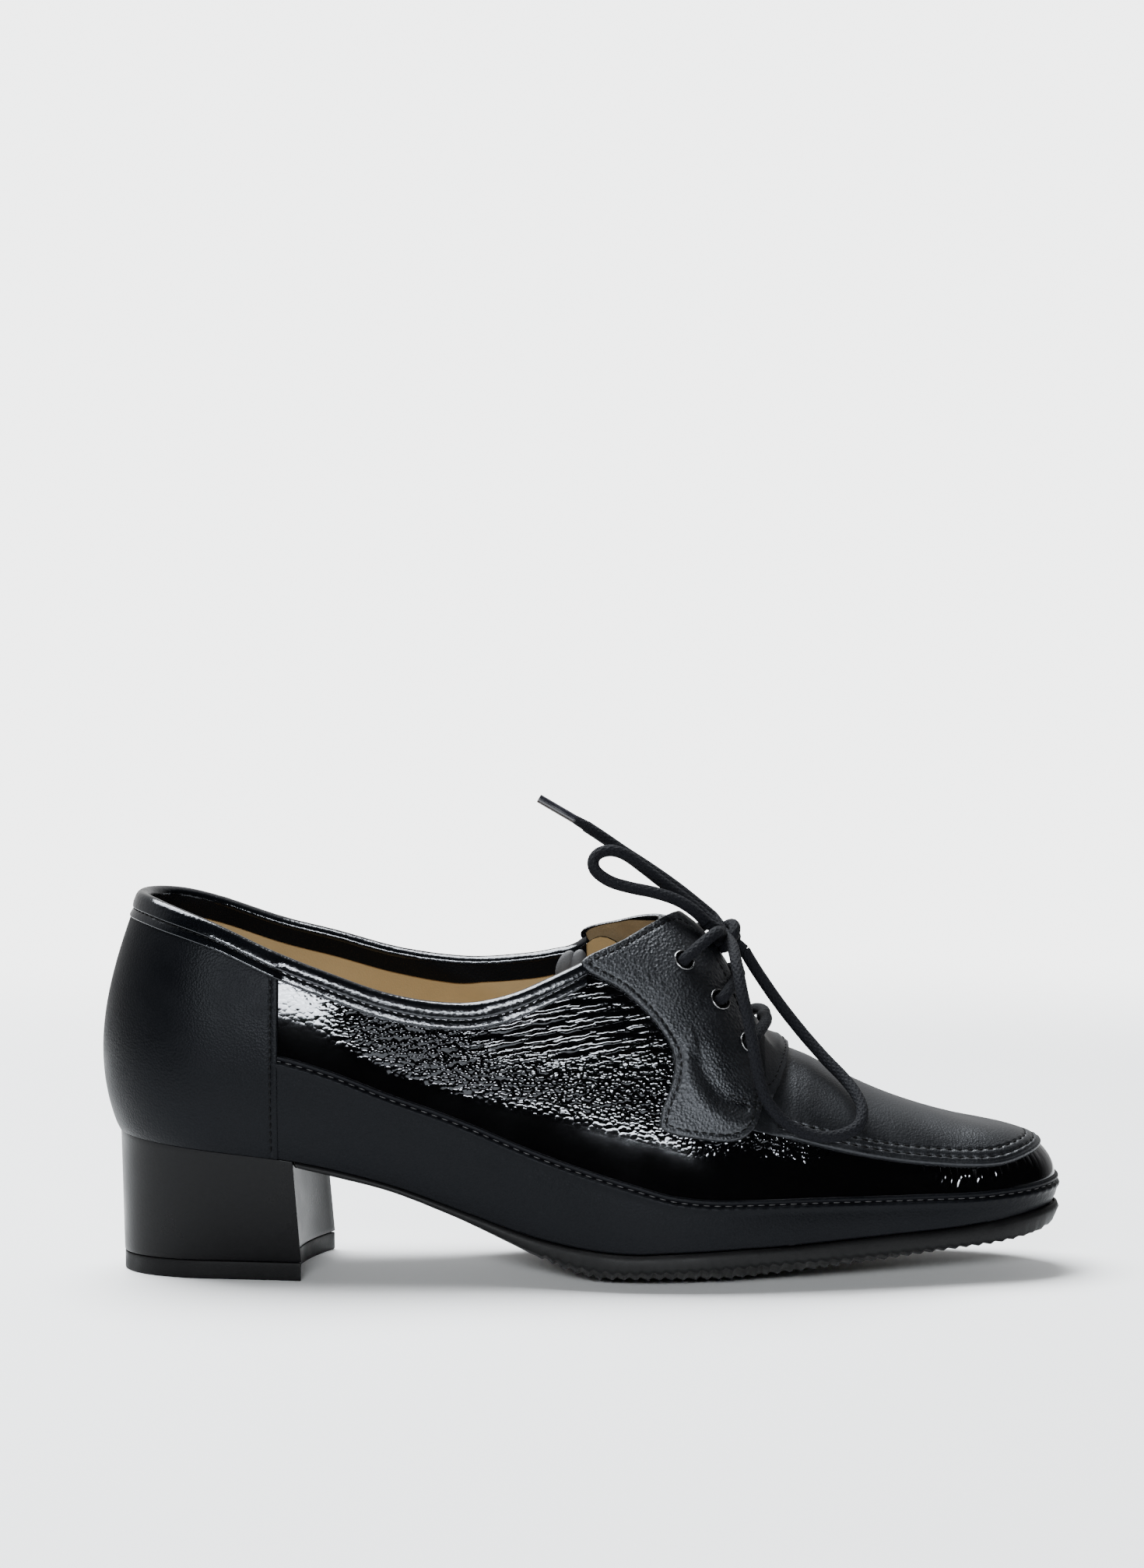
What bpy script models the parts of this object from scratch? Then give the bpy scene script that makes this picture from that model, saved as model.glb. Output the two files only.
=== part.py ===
"""Heeled derby, right shoe, as an assembly of separate solids.

Sizes are in millimetres in the shoe's own frame: x runs from the back of the counter (0) to the tip of the
sole, y from the lateral side (-) to the medial side (+), z up from the floor. The finished solids are in
metres, with the origin on the floor under the middle of the shoe.
"""

import math
from typing import NamedTuple

import bmesh
import bpy
import numpy as np
from mathutils import Vector

MM = 0.001
LENGTH = 258.0
LATERAL = -1
MEDIAL = 1
GAP = 0.3
SMOOTH_ANGLE = math.radians(40)

# Ends of the last: the meridians fan out round a pole at the heel and a pole at the toe.
HEEL_POLE = 34.0
HEEL_REACH = 28.4
HEEL_POWER = 2.3
TOE_POLE = 230.0
TOE_REACH = 25.0
TOE_POWER = 2.6
BODY = TOE_POLE - HEEL_POLE
BACK = -90.0
TIP = BODY + 90.0
MERIDIAN_SAMPLES = 121
NUDGE = 0.3

# Wall of the upper and the panels that stand proud of it.
WALL = 1.8
MUDGUARD_LIFT = 0.9
COUNTER_LIFT = 1.2
APRON_LIFT = 1.0
COUNTER_SEAM_X = 49.0
APRON_BACK_X = 177.6
SEAM_STEP = 0.3
BULGE_LEAN = 0.8
APRON_RAMP = 8.0
SKIVE = 6.0
SKIVED_SHARE = 0.1


class Section(NamedTuple):
    """One section of the last: feather edge, ridge, and how the wall swells and rounds over between them."""

    x: float
    lateral_y: float
    medial_y: float
    lateral_z: float
    medial_z: float
    ridge_y: float
    ridge_z: float
    lateral_bulge: float
    medial_bulge: float
    bulge_top: float
    side_power: float
    crown_power: float


SECTIONS = (
    Section(0, -24.0, 24.5, 39.4, 39.4, 0.0, 137.0, 5.0, 5.0, 0.6, 2.6, 2.0),
    Section(34, -25.0, 25.8, 35.4, 35.4, 0.0, 140.0, 4.6, 4.8, 0.58, 3.2, 2.0),
    Section(53, -26.6, 26.2, 33.1, 33.3, 0.0, 140.0, 4.2, 5.0, 0.54, 3.2, 2.0),
    Section(80, -27.6, 24.6, 26.6, 27.6, 0.0, 130.0, 3.8, 6.4, 0.54, 2.8, 1.9),
    Section(100, -29.6, 24.6, 19.5, 20.6, 0.0, 118.0, 3.0, 6.4, 0.56, 2.4, 1.85),
    Section(120, -33.4, 28.0, 13.0, 13.8, 0.0, 108.5, 2.0, 4.6, 0.56, 2.1, 1.8),
    Section(140, -37.4, 34.6, 10.2, 10.4, 0.0, 101.5, 1.4, 2.4, 0.56, 1.9, 1.75),
    Section(155, -38.4, 38.0, 10.7, 10.7, 0.0, 95.0, 1.2, 1.4, 0.56, 1.85, 1.75),
    Section(165, -37.9, 39.0, 11.2, 11.2, 0.0, 86.0, 1.2, 1.2, 0.56, 1.85, 1.75),
    Section(173, -36.9, 39.0, 11.6, 11.6, 0.0, 74.8, 1.2, 1.2, 0.56, 1.85, 1.75),
    Section(178, -36.1, 38.7, 11.8, 11.8, 0.0, 65.6, 1.2, 1.2, 0.58, 1.87, 1.77),
    Section(182, -35.4, 38.3, 12.0, 12.0, 0.0, 60.6, 1.2, 1.2, 0.6, 1.9, 1.8),
    Section(190, -33.7, 37.0, 12.5, 12.5, 0.0, 56.2, 1.1, 1.1, 0.6, 2.0, 1.9),
    Section(210, -28.6, 32.0, 13.8, 13.8, 0.5, 46.4, 1.0, 1.0, 0.7, 2.3, 2.2),
    Section(230, -22.6, 25.2, 15.0, 15.0, 1.0, 40.2, 0.9, 0.9, 0.8, 2.6, 2.6),
    Section(258, -14.0, 16.0, 18.8, 18.8, 1.0, 36.0, 2.0, 2.0, 1.0, 4.6, 4.4),
)


class Lines(NamedTuple):
    """Heights of the panel edges along the shoe."""

    x: float
    mudguard: float
    apron: float
    lateral_top: float
    medial_top: float


OPEN_TOP = 200.0
LINES = (
    Lines(0, 64.0, 82.0, 100.4, 100.4),
    Lines(12, 64.0, 82.0, 100.2, 100.4),
    Lines(20, 63.8, 81.0, 98.0, 99.2),
    Lines(29, 63.4, 79.5, 95.0, 96.8),
    Lines(48, 61.8, 74.5, 86.6, 90.4),
    Lines(62, 57.8, 69.5, 81.2, 87.0),
    Lines(78, 51.6, 64.0, 75.7, 82.8),
    Lines(90, 47.4, 60.5, 73.5, 80.8),
    Lines(100, 43.6, 58.0, 73.2, 80.2),
    Lines(111, 39.0, 56.0, 75.6, 80.9),
    Lines(120, 35.6, 55.0, 79.4, 82.2),
    Lines(129, 32.6, 54.0, 83.6, 85.0),
    Lines(144, 28.1, 51.0, OPEN_TOP, OPEN_TOP),
    Lines(152, 25.9, 48.5, OPEN_TOP, OPEN_TOP),
    Lines(160, 24.8, 46.0, OPEN_TOP, OPEN_TOP),
    Lines(175, 24.4, 41.5, OPEN_TOP, OPEN_TOP),
    Lines(189, 24.4, 37.5, OPEN_TOP, OPEN_TOP),
    Lines(201, 24.3, 34.5, OPEN_TOP, OPEN_TOP),
    Lines(222, 24.0, 31.0, OPEN_TOP, OPEN_TOP),
    Lines(231, 23.9, 30.2, OPEN_TOP, OPEN_TOP),
    Lines(242, 24.4, 30.5, OPEN_TOP, OPEN_TOP),
    Lines(248, 24.8, 32.0, OPEN_TOP, OPEN_TOP),
    Lines(252, 25.2, 33.4, OPEN_TOP, OPEN_TOP),
    Lines(258, 26.0, 37.5, OPEN_TOP, OPEN_TOP),
)


class Throat(NamedTuple):
    """Half-width of the slot under the lace flaps."""

    x: float
    half: float


THROAT = (
    Throat(0, 0.0),
    Throat(118, 0.0),
    Throat(128, 20.5),
    Throat(156, 21.0),
    Throat(174, 20.5),
    Throat(177, 19.0),
    Throat(178.6, 16.0),
    Throat(180, 10.0),
    Throat(180.8, 0.0),
    Throat(258, 0.0),
)

HEEL_ANGLES = (-90, -75, -60, -45, -30, -15)
COUNTER_SEAM = (COUNTER_SEAM_X - SEAM_STEP, COUNTER_SEAM_X + SEAM_STEP)
APRON_SEAM = (APRON_BACK_X - SEAM_STEP, APRON_BACK_X + SEAM_STEP)
COLLAR_X = (34, 41) + COUNTER_SEAM + (58, 67, 77, 87, 97, 107, 116, 122, 128)
THROAT_X = (136, 144, 152, 160, 167, 173) + APRON_SEAM + (179.4, 180.8)
BODY_X = COLLAR_X + THROAT_X + (183.4, 188, 195, 203, 212, 221)
TOE_ANGLES = (0, 12, 24, 36, 48, 60, 70, 80, 90)
STATIONS = (
    HEEL_ANGLES + tuple(x - HEEL_POLE for x in BODY_X) + tuple(BODY + angle for angle in TOE_ANGLES)
)
FOXING_ROWS = 2
SIDE_ROWS = 3
CROWN_ROWS = 4


def clear_scene():
    for obj in list(bpy.data.objects):
        bpy.data.objects.remove(obj, do_unlink=True)


def interpolate(table, places):
    """Rows of a table at the given places, on cubics through its rows with each slope from the neighbours."""
    rows = np.asarray(table, float)
    known = rows[:, 0]
    slope = np.gradient(rows, known, axis=0)
    places = np.clip(np.atleast_1d(np.asarray(places, float)), known[0], known[-1])
    low = np.clip(np.searchsorted(known, places, side="right") - 1, 0, len(known) - 2)
    step = (known[low + 1] - known[low])[:, None]
    t = (places - known[low])[:, None] / step
    return (
        (2 * t**3 - 3 * t**2 + 1) * rows[low]
        + (t**3 - 2 * t**2 + t) * step * slope[low]
        + (3 * t**2 - 2 * t**3) * rows[low + 1]
        + (t**3 - t**2) * step * slope[low + 1]
    )


def straight(table, places, column):
    """One column of a table at the given places, on straight lines between its rows."""
    rows = np.asarray(table, float)
    return np.interp(places, rows[:, 0], rows[:, column])


def section_at(x):
    return Section(*interpolate(SECTIONS, x)[0])


def ridge_height(x):
    return interpolate(SECTIONS, x)[:, Section._fields.index("ridge_z")]


def fold_station(side, station):
    """Side and station of a place that runs past the back seam or the tip, on to the other side."""
    if station < BACK:
        return -side, 2 * BACK - station
    if station > TIP:
        return -side, 2 * TIP - station
    return side, station


def plan_of(side, station):
    """Section, feather point and apex of one meridian. Stations are degrees at the ends, mm between."""
    side, station = fold_station(side, station)
    x = HEEL_POLE + station
    narrow = 1.0
    apex_x = x
    if station < 0:
        turn = math.radians(-station)
        x = HEEL_POLE - HEEL_REACH * math.sin(turn) ** (2 / HEEL_POWER)
        narrow = abs(math.cos(turn)) ** (2 / HEEL_POWER)
        apex_x = HEEL_POLE
    elif station > BODY:
        turn = math.radians(station - BODY)
        x = TOE_POLE + TOE_REACH * math.sin(turn) ** (2 / TOE_POWER)
        narrow = abs(math.cos(turn)) ** (2 / TOE_POWER)
        apex_x = TOE_POLE
    row = section_at(x)
    middle = (row.lateral_y + row.medial_y) / 2
    edge = row.lateral_y if side == LATERAL else row.medial_y
    height = row.lateral_z if side == LATERAL else row.medial_z
    foot = np.array([x, middle + (edge - middle) * narrow, height])
    apex = np.array([apex_x, section_at(apex_x).ridge_y])
    return row, foot, apex, side


def meridian(side, station):
    """Points up the bare wall of the last, from the feather edge to the ridge."""
    row, foot, apex, side = plan_of(side, station)
    turn = np.linspace(0, math.pi / 2, MERIDIAN_SAMPLES)
    rise = np.sin(turn) ** (2 / row.crown_power)
    reach = np.cos(turn) ** (2 / row.side_power)
    reach[-1] = 0.0
    bulge = row.lateral_bulge if side == LATERAL else row.medial_bulge
    swell = bulge * np.sin(math.pi * np.minimum(rise / row.bulge_top, 1) ** BULGE_LEAN)
    run = foot[:2] - apex
    out = run / np.linalg.norm(run)
    plan = apex + reach[:, None] * run + swell[:, None] * out
    top = ridge_height(plan[:, 0])
    return np.column_stack([plan, foot[2] + (top - foot[2]) * rise])


def ridge_normal(x):
    low, high = ridge_height(np.array([x - NUDGE, x + NUDGE]))
    normal = np.array([low - high, 0.0, 2 * NUDGE])
    return normal / np.linalg.norm(normal)


class Column:
    """One meridian of the wall, with its outward normals and its length measured up from the feather edge."""

    def __init__(self, side, station):
        self.side = side
        self.station = station
        self.points = meridian(side, station)
        along = meridian(side, station + NUDGE) - meridian(side, station - NUDGE)
        normal = np.cross(along, np.gradient(self.points, axis=0)) * -side
        normal[-1] = ridge_normal(self.points[-1, 0])
        self.normals = normal / np.linalg.norm(normal, axis=1)[:, None]
        steps = np.linalg.norm(np.diff(self.points, axis=0), axis=1)
        self.arc = np.concatenate([[0.0], np.cumsum(steps)])
        self.foot_x = self.points[0, 0]

    def read(self, values, arc):
        return np.array([np.interp(arc, self.arc, values[:, k]) for k in range(3)])

    def normal(self, arc):
        found = self.read(self.normals, arc)
        if arc <= 0:
            found[2] = 0.0
        return found / np.linalg.norm(found)

    def at(self, arc, lift=0.0):
        """Point at this length up the wall, lifted off it. Past the top edge it runs on straight."""
        return self.read(self.points, arc) + lift * self.normal(arc)

    def up(self, arc):
        found = self.read(self.points, arc + NUDGE) - self.read(self.points, arc - NUDGE)
        return found / np.linalg.norm(found)

    def first(self, level):
        """Length at which a measure along the column first reaches zero."""
        over = np.nonzero(level >= 0)[0]
        if not len(over):
            return self.arc[-1]
        high = over[0]
        if high == 0:
            return 0.0
        share = level[high - 1] / (level[high - 1] - level[high])
        return self.arc[high - 1] + share * (self.arc[high] - self.arc[high - 1])

    def line(self, name):
        """Length at which the column meets a panel edge."""
        heights = interpolate(LINES, self.points[:, 0])[:, Lines._fields.index(name)]
        return self.first(self.points[:, 2] - heights)

    def top(self):
        """Length at which the wall ends, at the collar or at the slot under the lace flaps."""
        name = "lateral_top" if self.side == LATERAL else "medial_top"
        heights = straight(LINES, self.points[:, 0], Lines._fields.index(name))
        slot = straight(THROAT, self.points[:, 0], Throat._fields.index("half"))
        ridge_y = interpolate(SECTIONS, self.points[:, 0])[:, Section._fields.index("ridge_y")]
        off_ridge = np.abs(self.points[:, 1] - ridge_y)
        return self.first(np.maximum(self.points[:, 2] - heights, slot - off_ridge))

    def closed(self):
        return self.top() >= self.arc[-1] - NUDGE * NUDGE


def width_point(x, y, lift):
    """Point of the bare wall over a place in plan, lifted off it, on the body of the shoe."""
    side = LATERAL if y < section_at(x).ridge_y else MEDIAL
    column = Column(side, x - HEEL_POLE)
    off = np.abs(column.points[:, 1] - y)
    upper_half = column.points[:, 2] > column.points[:, 2].mean()
    off[~upper_half] = np.inf
    nearest = int(np.argmin(off))
    low, high = max(nearest - 1, 0), min(nearest + 1, len(off) - 1)
    ys = column.points[low : high + 1, 1] * -side
    arc = np.interp(y * -side, ys, column.arc[low : high + 1])
    return column.at(arc, lift)


def to_world(point):
    return Vector(((point[0] - LENGTH / 2) * MM, point[1] * MM, point[2] * MM))


def make_material(name, colour, roughness, metallic=0.0):
    material = bpy.data.materials.new(name)
    material.use_nodes = True
    shader = material.node_tree.nodes["Principled BSDF"]
    shader.inputs["Base Color"].default_value = (*colour, 1.0)
    shader.inputs["Roughness"].default_value = roughness
    shader.inputs["Metallic"].default_value = metallic
    return material


def make_object(name, bm, material):
    """Mesh object from a bmesh, with its doubles merged and its faces turned outward."""
    bmesh.ops.remove_doubles(bm, verts=bm.verts, dist=MM / 1000)
    bmesh.ops.recalc_face_normals(bm, faces=bm.faces)
    mesh = bpy.data.meshes.new(name)
    bm.to_mesh(mesh)
    bm.free()
    mesh.shade_smooth()
    mesh.set_sharp_from_angle(angle=SMOOTH_ANGLE)
    obj = bpy.data.objects.new(name, mesh)
    bpy.context.scene.collection.objects.link(obj)
    if material:
        mesh.materials.append(material)
    return obj


def bridge(bm, first, second, skip=()):
    """Quads between two closed rings of points that have the same count, apart from the skipped places."""
    count = len(first)
    for i in range(count):
        if i not in skip:
            j = (i + 1) % count
            bm.faces.new((first[i], first[j], second[j], second[i]))


def loft(name, rings, material):
    """Closed solid through rings of points, with a face over each end."""
    bm = bmesh.new()
    loops = [[bm.verts.new(to_world(p)) for p in ring] for ring in rings]
    for first, second in zip(loops, loops[1:]):
        bridge(bm, first, second)
    bm.faces.new(loops[0])
    bm.faces.new(loops[-1])
    return make_object(name, bm, material)


def spread(start, stop, count):
    """Places that divide a length evenly, without its start."""
    return [start + (stop - start) * (i + 1) / count for i in range(count)]


def panel_lifts(column):
    """How far the band along the sole, the side and the crown stand proud of the bare wall in this column."""
    if column.foot_x < COUNTER_SEAM_X:
        return COUNTER_LIFT, COUNTER_LIFT, COUNTER_LIFT
    ramp = (column.foot_x - APRON_BACK_X) / APRON_RAMP
    return MUDGUARD_LIFT, 0.0, APRON_LIFT * min(max(ramp, 0.0), 1.0)


def skived(lift, below_top):
    """Lift of a panel that is thinned towards the collar, so that the binding lies flat over it."""
    return lift * min(1.0, SKIVED_SHARE + below_top / SKIVE)


def wall_rows(column):
    """Length and lift of each row up one column of the upper, with a step at each panel edge."""
    foxing = column.line("mudguard")
    apron = column.line("apron")
    top = column.top()
    low, side, crown = panel_lifts(column)
    rows = [(0.0, low)]
    rows += [(arc, low) for arc in spread(0.0, foxing - SEAM_STEP, FOXING_ROWS)]
    rows += [(foxing + SEAM_STEP, side)]
    rows += [(arc, side) for arc in spread(foxing + SEAM_STEP, apron - SEAM_STEP, SIDE_ROWS)]
    rows += [(apron + SEAM_STEP, crown)]
    rows += [(arc, crown) for arc in spread(apron + SEAM_STEP, top, CROWN_ROWS)]
    if column.foot_x < COUNTER_SEAM_X:
        rows = [(arc, skived(lift, top - arc)) for arc, lift in rows]
    return rows


def make_upper(material):
    """Hollow wall all round the foot, open underneath, at the collar and at the throat."""
    stations = [(LATERAL, q) for q in STATIONS] + [(MEDIAL, q) for q in reversed(STATIONS[1:-1])]
    columns = [Column(side, q) for side, q in stations]
    bm = bmesh.new()
    rings = []
    for column in columns:
        rows = wall_rows(column)
        outer = [column.at(arc, lift) for arc, lift in rows]
        inner = [column.at(arc, -WALL) for arc, _ in reversed(rows)]
        rings.append([bm.verts.new(to_world(p)) for p in outer + inner])
    top_place = len(rings[0]) // 2 - 1
    closed = [column.closed() for column in columns]
    for i in range(len(columns)):
        j = (i + 1) % len(columns)
        bridge(bm, rings[i], rings[j], skip=(top_place,) if closed[i] and closed[j] else ())
    return make_object("upper", bm, material)


class Tread(NamedTuple):
    """Outsole along the shoe: its rim, its lowest line, how far it stands out and how deep it is dished."""

    x: float
    rim_z: float
    middle_z: float
    outset: float
    dish: float


TREAD = (
    Tread(50, 31.9, 31.4, 0.9, 0.2),
    Tread(64, 28.6, 27.8, 0.9, 0.5),
    Tread(78, 25.0, 24.0, 0.9, 0.9),
    Tread(94, 19.0, 17.4, 1.0, 1.6),
    Tread(111, 11.8, 9.2, 1.2, 2.6),
    Tread(119, 8.4, 5.2, 1.4, 3.4),
    Tread(127, 5.8, 1.8, 1.6, 4.2),
    Tread(135, 4.6, -0.2, 1.8, 4.8),
    Tread(148, 4.6, -0.6, 1.9, 5.0),
    Tread(162, 5.4, -0.3, 1.9, 5.0),
    Tread(175, 6.3, 0.7, 1.9, 4.8),
    Tread(189, 7.0, 2.2, 1.9, 4.2),
    Tread(201, 7.6, 3.6, 1.9, 3.6),
    Tread(222, 8.9, 6.2, 1.9, 2.4),
    Tread(244, 10.3, 9.2, 2.3, 1.2),
    Tread(258, 12.0, 11.6, 3.0, 0.8),
)
TREAD_FLAT = 0.42
RIM_ROUND = 0.8
RIM_DROP = 1.3
TOE_UNDERCUT = 4.2
UNDERCUT_START_X = 236.0
SOLE_ACROSS = (-1.0, -0.86, -0.66, -0.42, 0.0, 0.42, 0.66, 0.86, 1.0)
SOLE_X = (70, 80, 90, 100, 108, 116, 123, 130, 137, 144, 151, 158, 165, 173, 182, 191, 200, 210, 220)
SOLE_TOE_ANGLES = (0, 14, 28, 42, 54, 65, 75, 83, 87.6, 89.6)


def outline(side, station, outset):
    """Plan point of the feather edge, moved outward."""
    _, ahead, _, _ = plan_of(side, station + NUDGE)
    _, behind, _, _ = plan_of(side, station - NUDGE)
    _, foot, _, _ = plan_of(side, station)
    run = (ahead - behind)[:2]
    out = np.array([run[1], -run[0]]) * -side
    return foot[:2] + outset * out / np.linalg.norm(out)


def feather_height(x, share):
    """Height of the feather edge at x, between the lateral (-1) and the medial (1) side."""
    row = section_at(x)
    return (row.lateral_z + row.medial_z) / 2 + share * (row.medial_z - row.lateral_z) / 2


def bed_height(x, share):
    """Top of the sole, dished between its edges."""
    dish = interpolate(TREAD, x)[0][Tread._fields.index("dish")] if x > BREAST_LATERAL_TOP else 0.0
    return feather_height(x, share) - GAP - dish * (1 - share**2)


def tread_height(x, share):
    """Underside of the sole: flat across its middle, curving up to the rim."""
    row = Tread(*interpolate(TREAD, x)[0])
    middle = max(row.middle_z, 0.0)
    climb = max(abs(share) - TREAD_FLAT, 0.0) / (1 - TREAD_FLAT)
    return middle + (row.rim_z - middle) * climb**2


def sole_ring(edge_of, x_of):
    """One ring round the sole: over its top, down the medial rim, back underneath, up the lateral rim."""

    def across(outset, share):
        lateral = edge_of(LATERAL, outset)
        medial = edge_of(MEDIAL, outset)
        plan = lateral + (medial - lateral) * (share + 1) / 2
        return np.array([x_of(plan[0], share), plan[1]])

    def outset_at(place):
        return interpolate(TREAD, place[0])[0][Tread._fields.index("outset")]

    def rim(side):
        full = outset_at(edge_of(side, 0.0))
        plan = across(full, side)
        high = bed_height(plan[0], side) - RIM_DROP
        low = max(tread_height(plan[0], side) + RIM_DROP, (high + tread_height(plan[0], side)) / 2)
        return [np.array([*plan, high]), np.array([*plan, min(low, high - GAP)])]

    def row(height, inset, shares):
        points = []
        for share in shares:
            plan = across(outset_at(edge_of(LATERAL, 0.0)) - inset, share)
            points.append(np.array([*plan, height(plan[0], share)]))
        return points

    ahead = max(edge_of(LATERAL, 0.0)[0] - UNDERCUT_START_X, 0.0) / (TOE_POLE + TOE_REACH - UNDERCUT_START_X)
    top = row(bed_height, RIM_ROUND, SOLE_ACROSS)
    under = row(tread_height, RIM_ROUND + TOE_UNDERCUT * ahead**2, SOLE_ACROSS[::-1])
    return top + rim(MEDIAL) + under + rim(LATERAL)[::-1]


# Heel block and its top lift.
LIFT_HEIGHT = 4.9
HEEL_BACK_X = 5.3
LIFT_POLE = 30.0
LIFT_POWER = 2.2
BREAST_LATERAL_TOP = 52.6
BREAST_MEDIAL_TOP = 58.4
BREAST_LATERAL_FOOT = 54.4
BREAST_MEDIAL_FOOT = 61.0
BREAST_HOLLOW = 4.6
HEEL_SIDE_POINTS = 12
BREAST_POINTS = 7
HEEL_LEVELS = 4
SEAT_OUTSET = 0.9
SEAT_GAP = 0.45


class Lift(NamedTuple):
    """Half-widths of the heel at the floor, before its back is rounded."""

    x: float
    lateral_y: float
    medial_y: float


LIFT = (
    Lift(0, -16.6, 18.4),
    Lift(30, -19.2, 21.4),
    Lift(54, -22.4, 23.8),
    Lift(64, -23.6, 24.6),
)


def breast_x(share, lateral_x, medial_x):
    """Front face of the heel across the shoe, hollowed between its corners."""
    return lateral_x + (medial_x - lateral_x) * (share + 1) / 2 - BREAST_HOLLOW * (1 - share**2)


def lift_edge(side, x):
    row = Lift(*interpolate(LIFT, x)[0])
    middle = (row.lateral_y + row.medial_y) / 2
    edge = row.lateral_y if side == LATERAL else row.medial_y
    off = min(max((LIFT_POLE - x) / (LIFT_POLE - HEEL_BACK_X), 0.0), 1.0)
    return np.array([x, middle + (edge - middle) * (1 - off**LIFT_POWER) ** (1 / LIFT_POWER)])


def seat_edge(side, share):
    """Outline of the heel under the upper, from the back seam (0) to the breast (1)."""
    breast = BREAST_LATERAL_TOP if side == LATERAL else BREAST_MEDIAL_TOP
    return outline(side, BACK + share * (breast - HEEL_POLE - BACK), SEAT_OUTSET)


def floor_edge(side, share):
    """Outline of the heel at the floor, from the back (0) to the breast (1)."""
    breast = BREAST_LATERAL_FOOT if side == LATERAL else BREAST_MEDIAL_FOOT
    turn = 1 - math.cos(share * math.pi / 2)
    return lift_edge(side, HEEL_BACK_X + (breast - HEEL_BACK_X) * turn)


def heel_ring(edge_of, lateral_x, medial_x):
    """Closed plan loop: up the lateral side from the breast, round the back, and along the hollow front."""
    shares = [1 - i / HEEL_SIDE_POINTS for i in range(HEEL_SIDE_POINTS)]
    lateral = [edge_of(LATERAL, share) for share in shares]
    medial = [edge_of(MEDIAL, share) for share in reversed(shares)]
    loop = lateral + [edge_of(LATERAL, 0.0)] + medial
    for i in range(BREAST_POINTS):
        share = 1 - 2 * (i + 1) / (BREAST_POINTS + 1)
        plan = lateral[0] + (medial[-1] - lateral[0]) * (share + 1) / 2
        loop.append(np.array([breast_x(share, lateral_x, medial_x), plan[1]]))
    return loop


def make_heel(block_material, lift_material):
    seat = heel_ring(seat_edge, BREAST_LATERAL_TOP, BREAST_MEDIAL_TOP)
    floor = heel_ring(floor_edge, BREAST_LATERAL_FOOT, BREAST_MEDIAL_FOOT)
    bottom = LIFT_HEIGHT + GAP
    rings = []
    for i in range(HEEL_LEVELS + 1):
        level = i / HEEL_LEVELS
        ring = []
        for low, high in zip(floor, seat):
            plan = low + (high - low) * level
            seat_height = feather_height(high[0], 0.0) - SEAT_GAP
            ring.append(np.array([*plan, bottom + (seat_height - bottom) * level]))
        rings.append(ring)
    block = loft("heel_block", rings, block_material)
    lift_rings = [[np.array([*p, z]) for p in floor] for z in (0.0, LIFT_HEIGHT)]
    return block, loft("top_lift", lift_rings, lift_material)


def make_outsole(material):
    """Sole from the heel breast to the toe, with its toe spring and its rounded rim."""

    def breast_line(x, share):
        return breast_x(share, BREAST_LATERAL_TOP, BREAST_MEDIAL_TOP) + 2 * GAP

    def as_is(x, share):
        return x

    def breast_edge(side, outset):
        x = BREAST_LATERAL_TOP if side == LATERAL else BREAST_MEDIAL_TOP
        return outline(side, x - HEEL_POLE, outset)

    rings = [sole_ring(breast_edge, breast_line)]
    stations = [x - HEEL_POLE for x in SOLE_X] + [BODY + angle for angle in SOLE_TOE_ANGLES]
    for station in stations:
        rings.append(sole_ring(lambda side, outset, q=station: outline(side, q, outset), as_is))
    return loft("outsole", rings, material)


# Insole.
INSOLE_INSET = 2.5
INSOLE_THICK = 2.0
INSOLE_LIFT = 0.5
INSOLE_ACROSS = (-1.0, -0.5, 0.0, 0.5, 1.0)
INSOLE_STATIONS = (
    (-84, -66, -46, -24)
    + tuple(x - HEEL_POLE for x in (34, 45, 56, 68, 80, 92, 104, 116, 128, 140, 154, 168, 182, 196, 212))
    + tuple(BODY + angle for angle in (0, 25, 48, 68, 84))
)


def make_insole(material):
    """Thin sock over the heel seat and the sole, inside the wall."""
    rings = []
    for station in INSOLE_STATIONS:
        lateral = outline(LATERAL, station, -INSOLE_INSET)
        medial = outline(MEDIAL, station, -INSOLE_INSET)
        under = []
        for share in INSOLE_ACROSS:
            plan = lateral + (medial - lateral) * (share + 1) / 2
            under.append(np.array([*plan, bed_height(plan[0], share) + INSOLE_LIFT]))
        over = [p + np.array([0, 0, INSOLE_THICK]) for p in reversed(under)]
        rings.append(under + over)
    return loft("insole", rings, material)


class Tongue(NamedTuple):
    """Tongue along the ridge: half its width, its outer face's lift off the wall, and its middle's sag."""

    x: float
    half: float
    lift: float
    sag: float


TONGUE = (
    Tongue(150.6, 17.0, -2.2, 0.0),
    Tongue(152, 18.6, -2.0, 0.0),
    Tongue(157, 19.4, -1.5, 0.2),
    Tongue(162, 19.6, -1.0, 0.6),
    Tongue(168, 19.4, -0.8, 1.2),
    Tongue(172, 19.2, -0.8, 1.4),
    Tongue(174, 19.0, -0.5, 1.7),
    Tongue(176.4, 18.6, 1.3, 2.8),
    Tongue(176.7, 25.2, 1.4, 2.8),
    Tongue(178.6, 24.0, 1.6, 2.0),
    Tongue(180.6, 20.0, 1.9, 0.0),
    Tongue(182.2, 14.0, 2.1, 0.0),
    Tongue(183.2, 7.0, 2.2, 0.0),
)
TONGUE_THICK = 0.9
TONGUE_ACROSS = 10
TONGUE_SAG_HALF = 12.0


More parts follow.
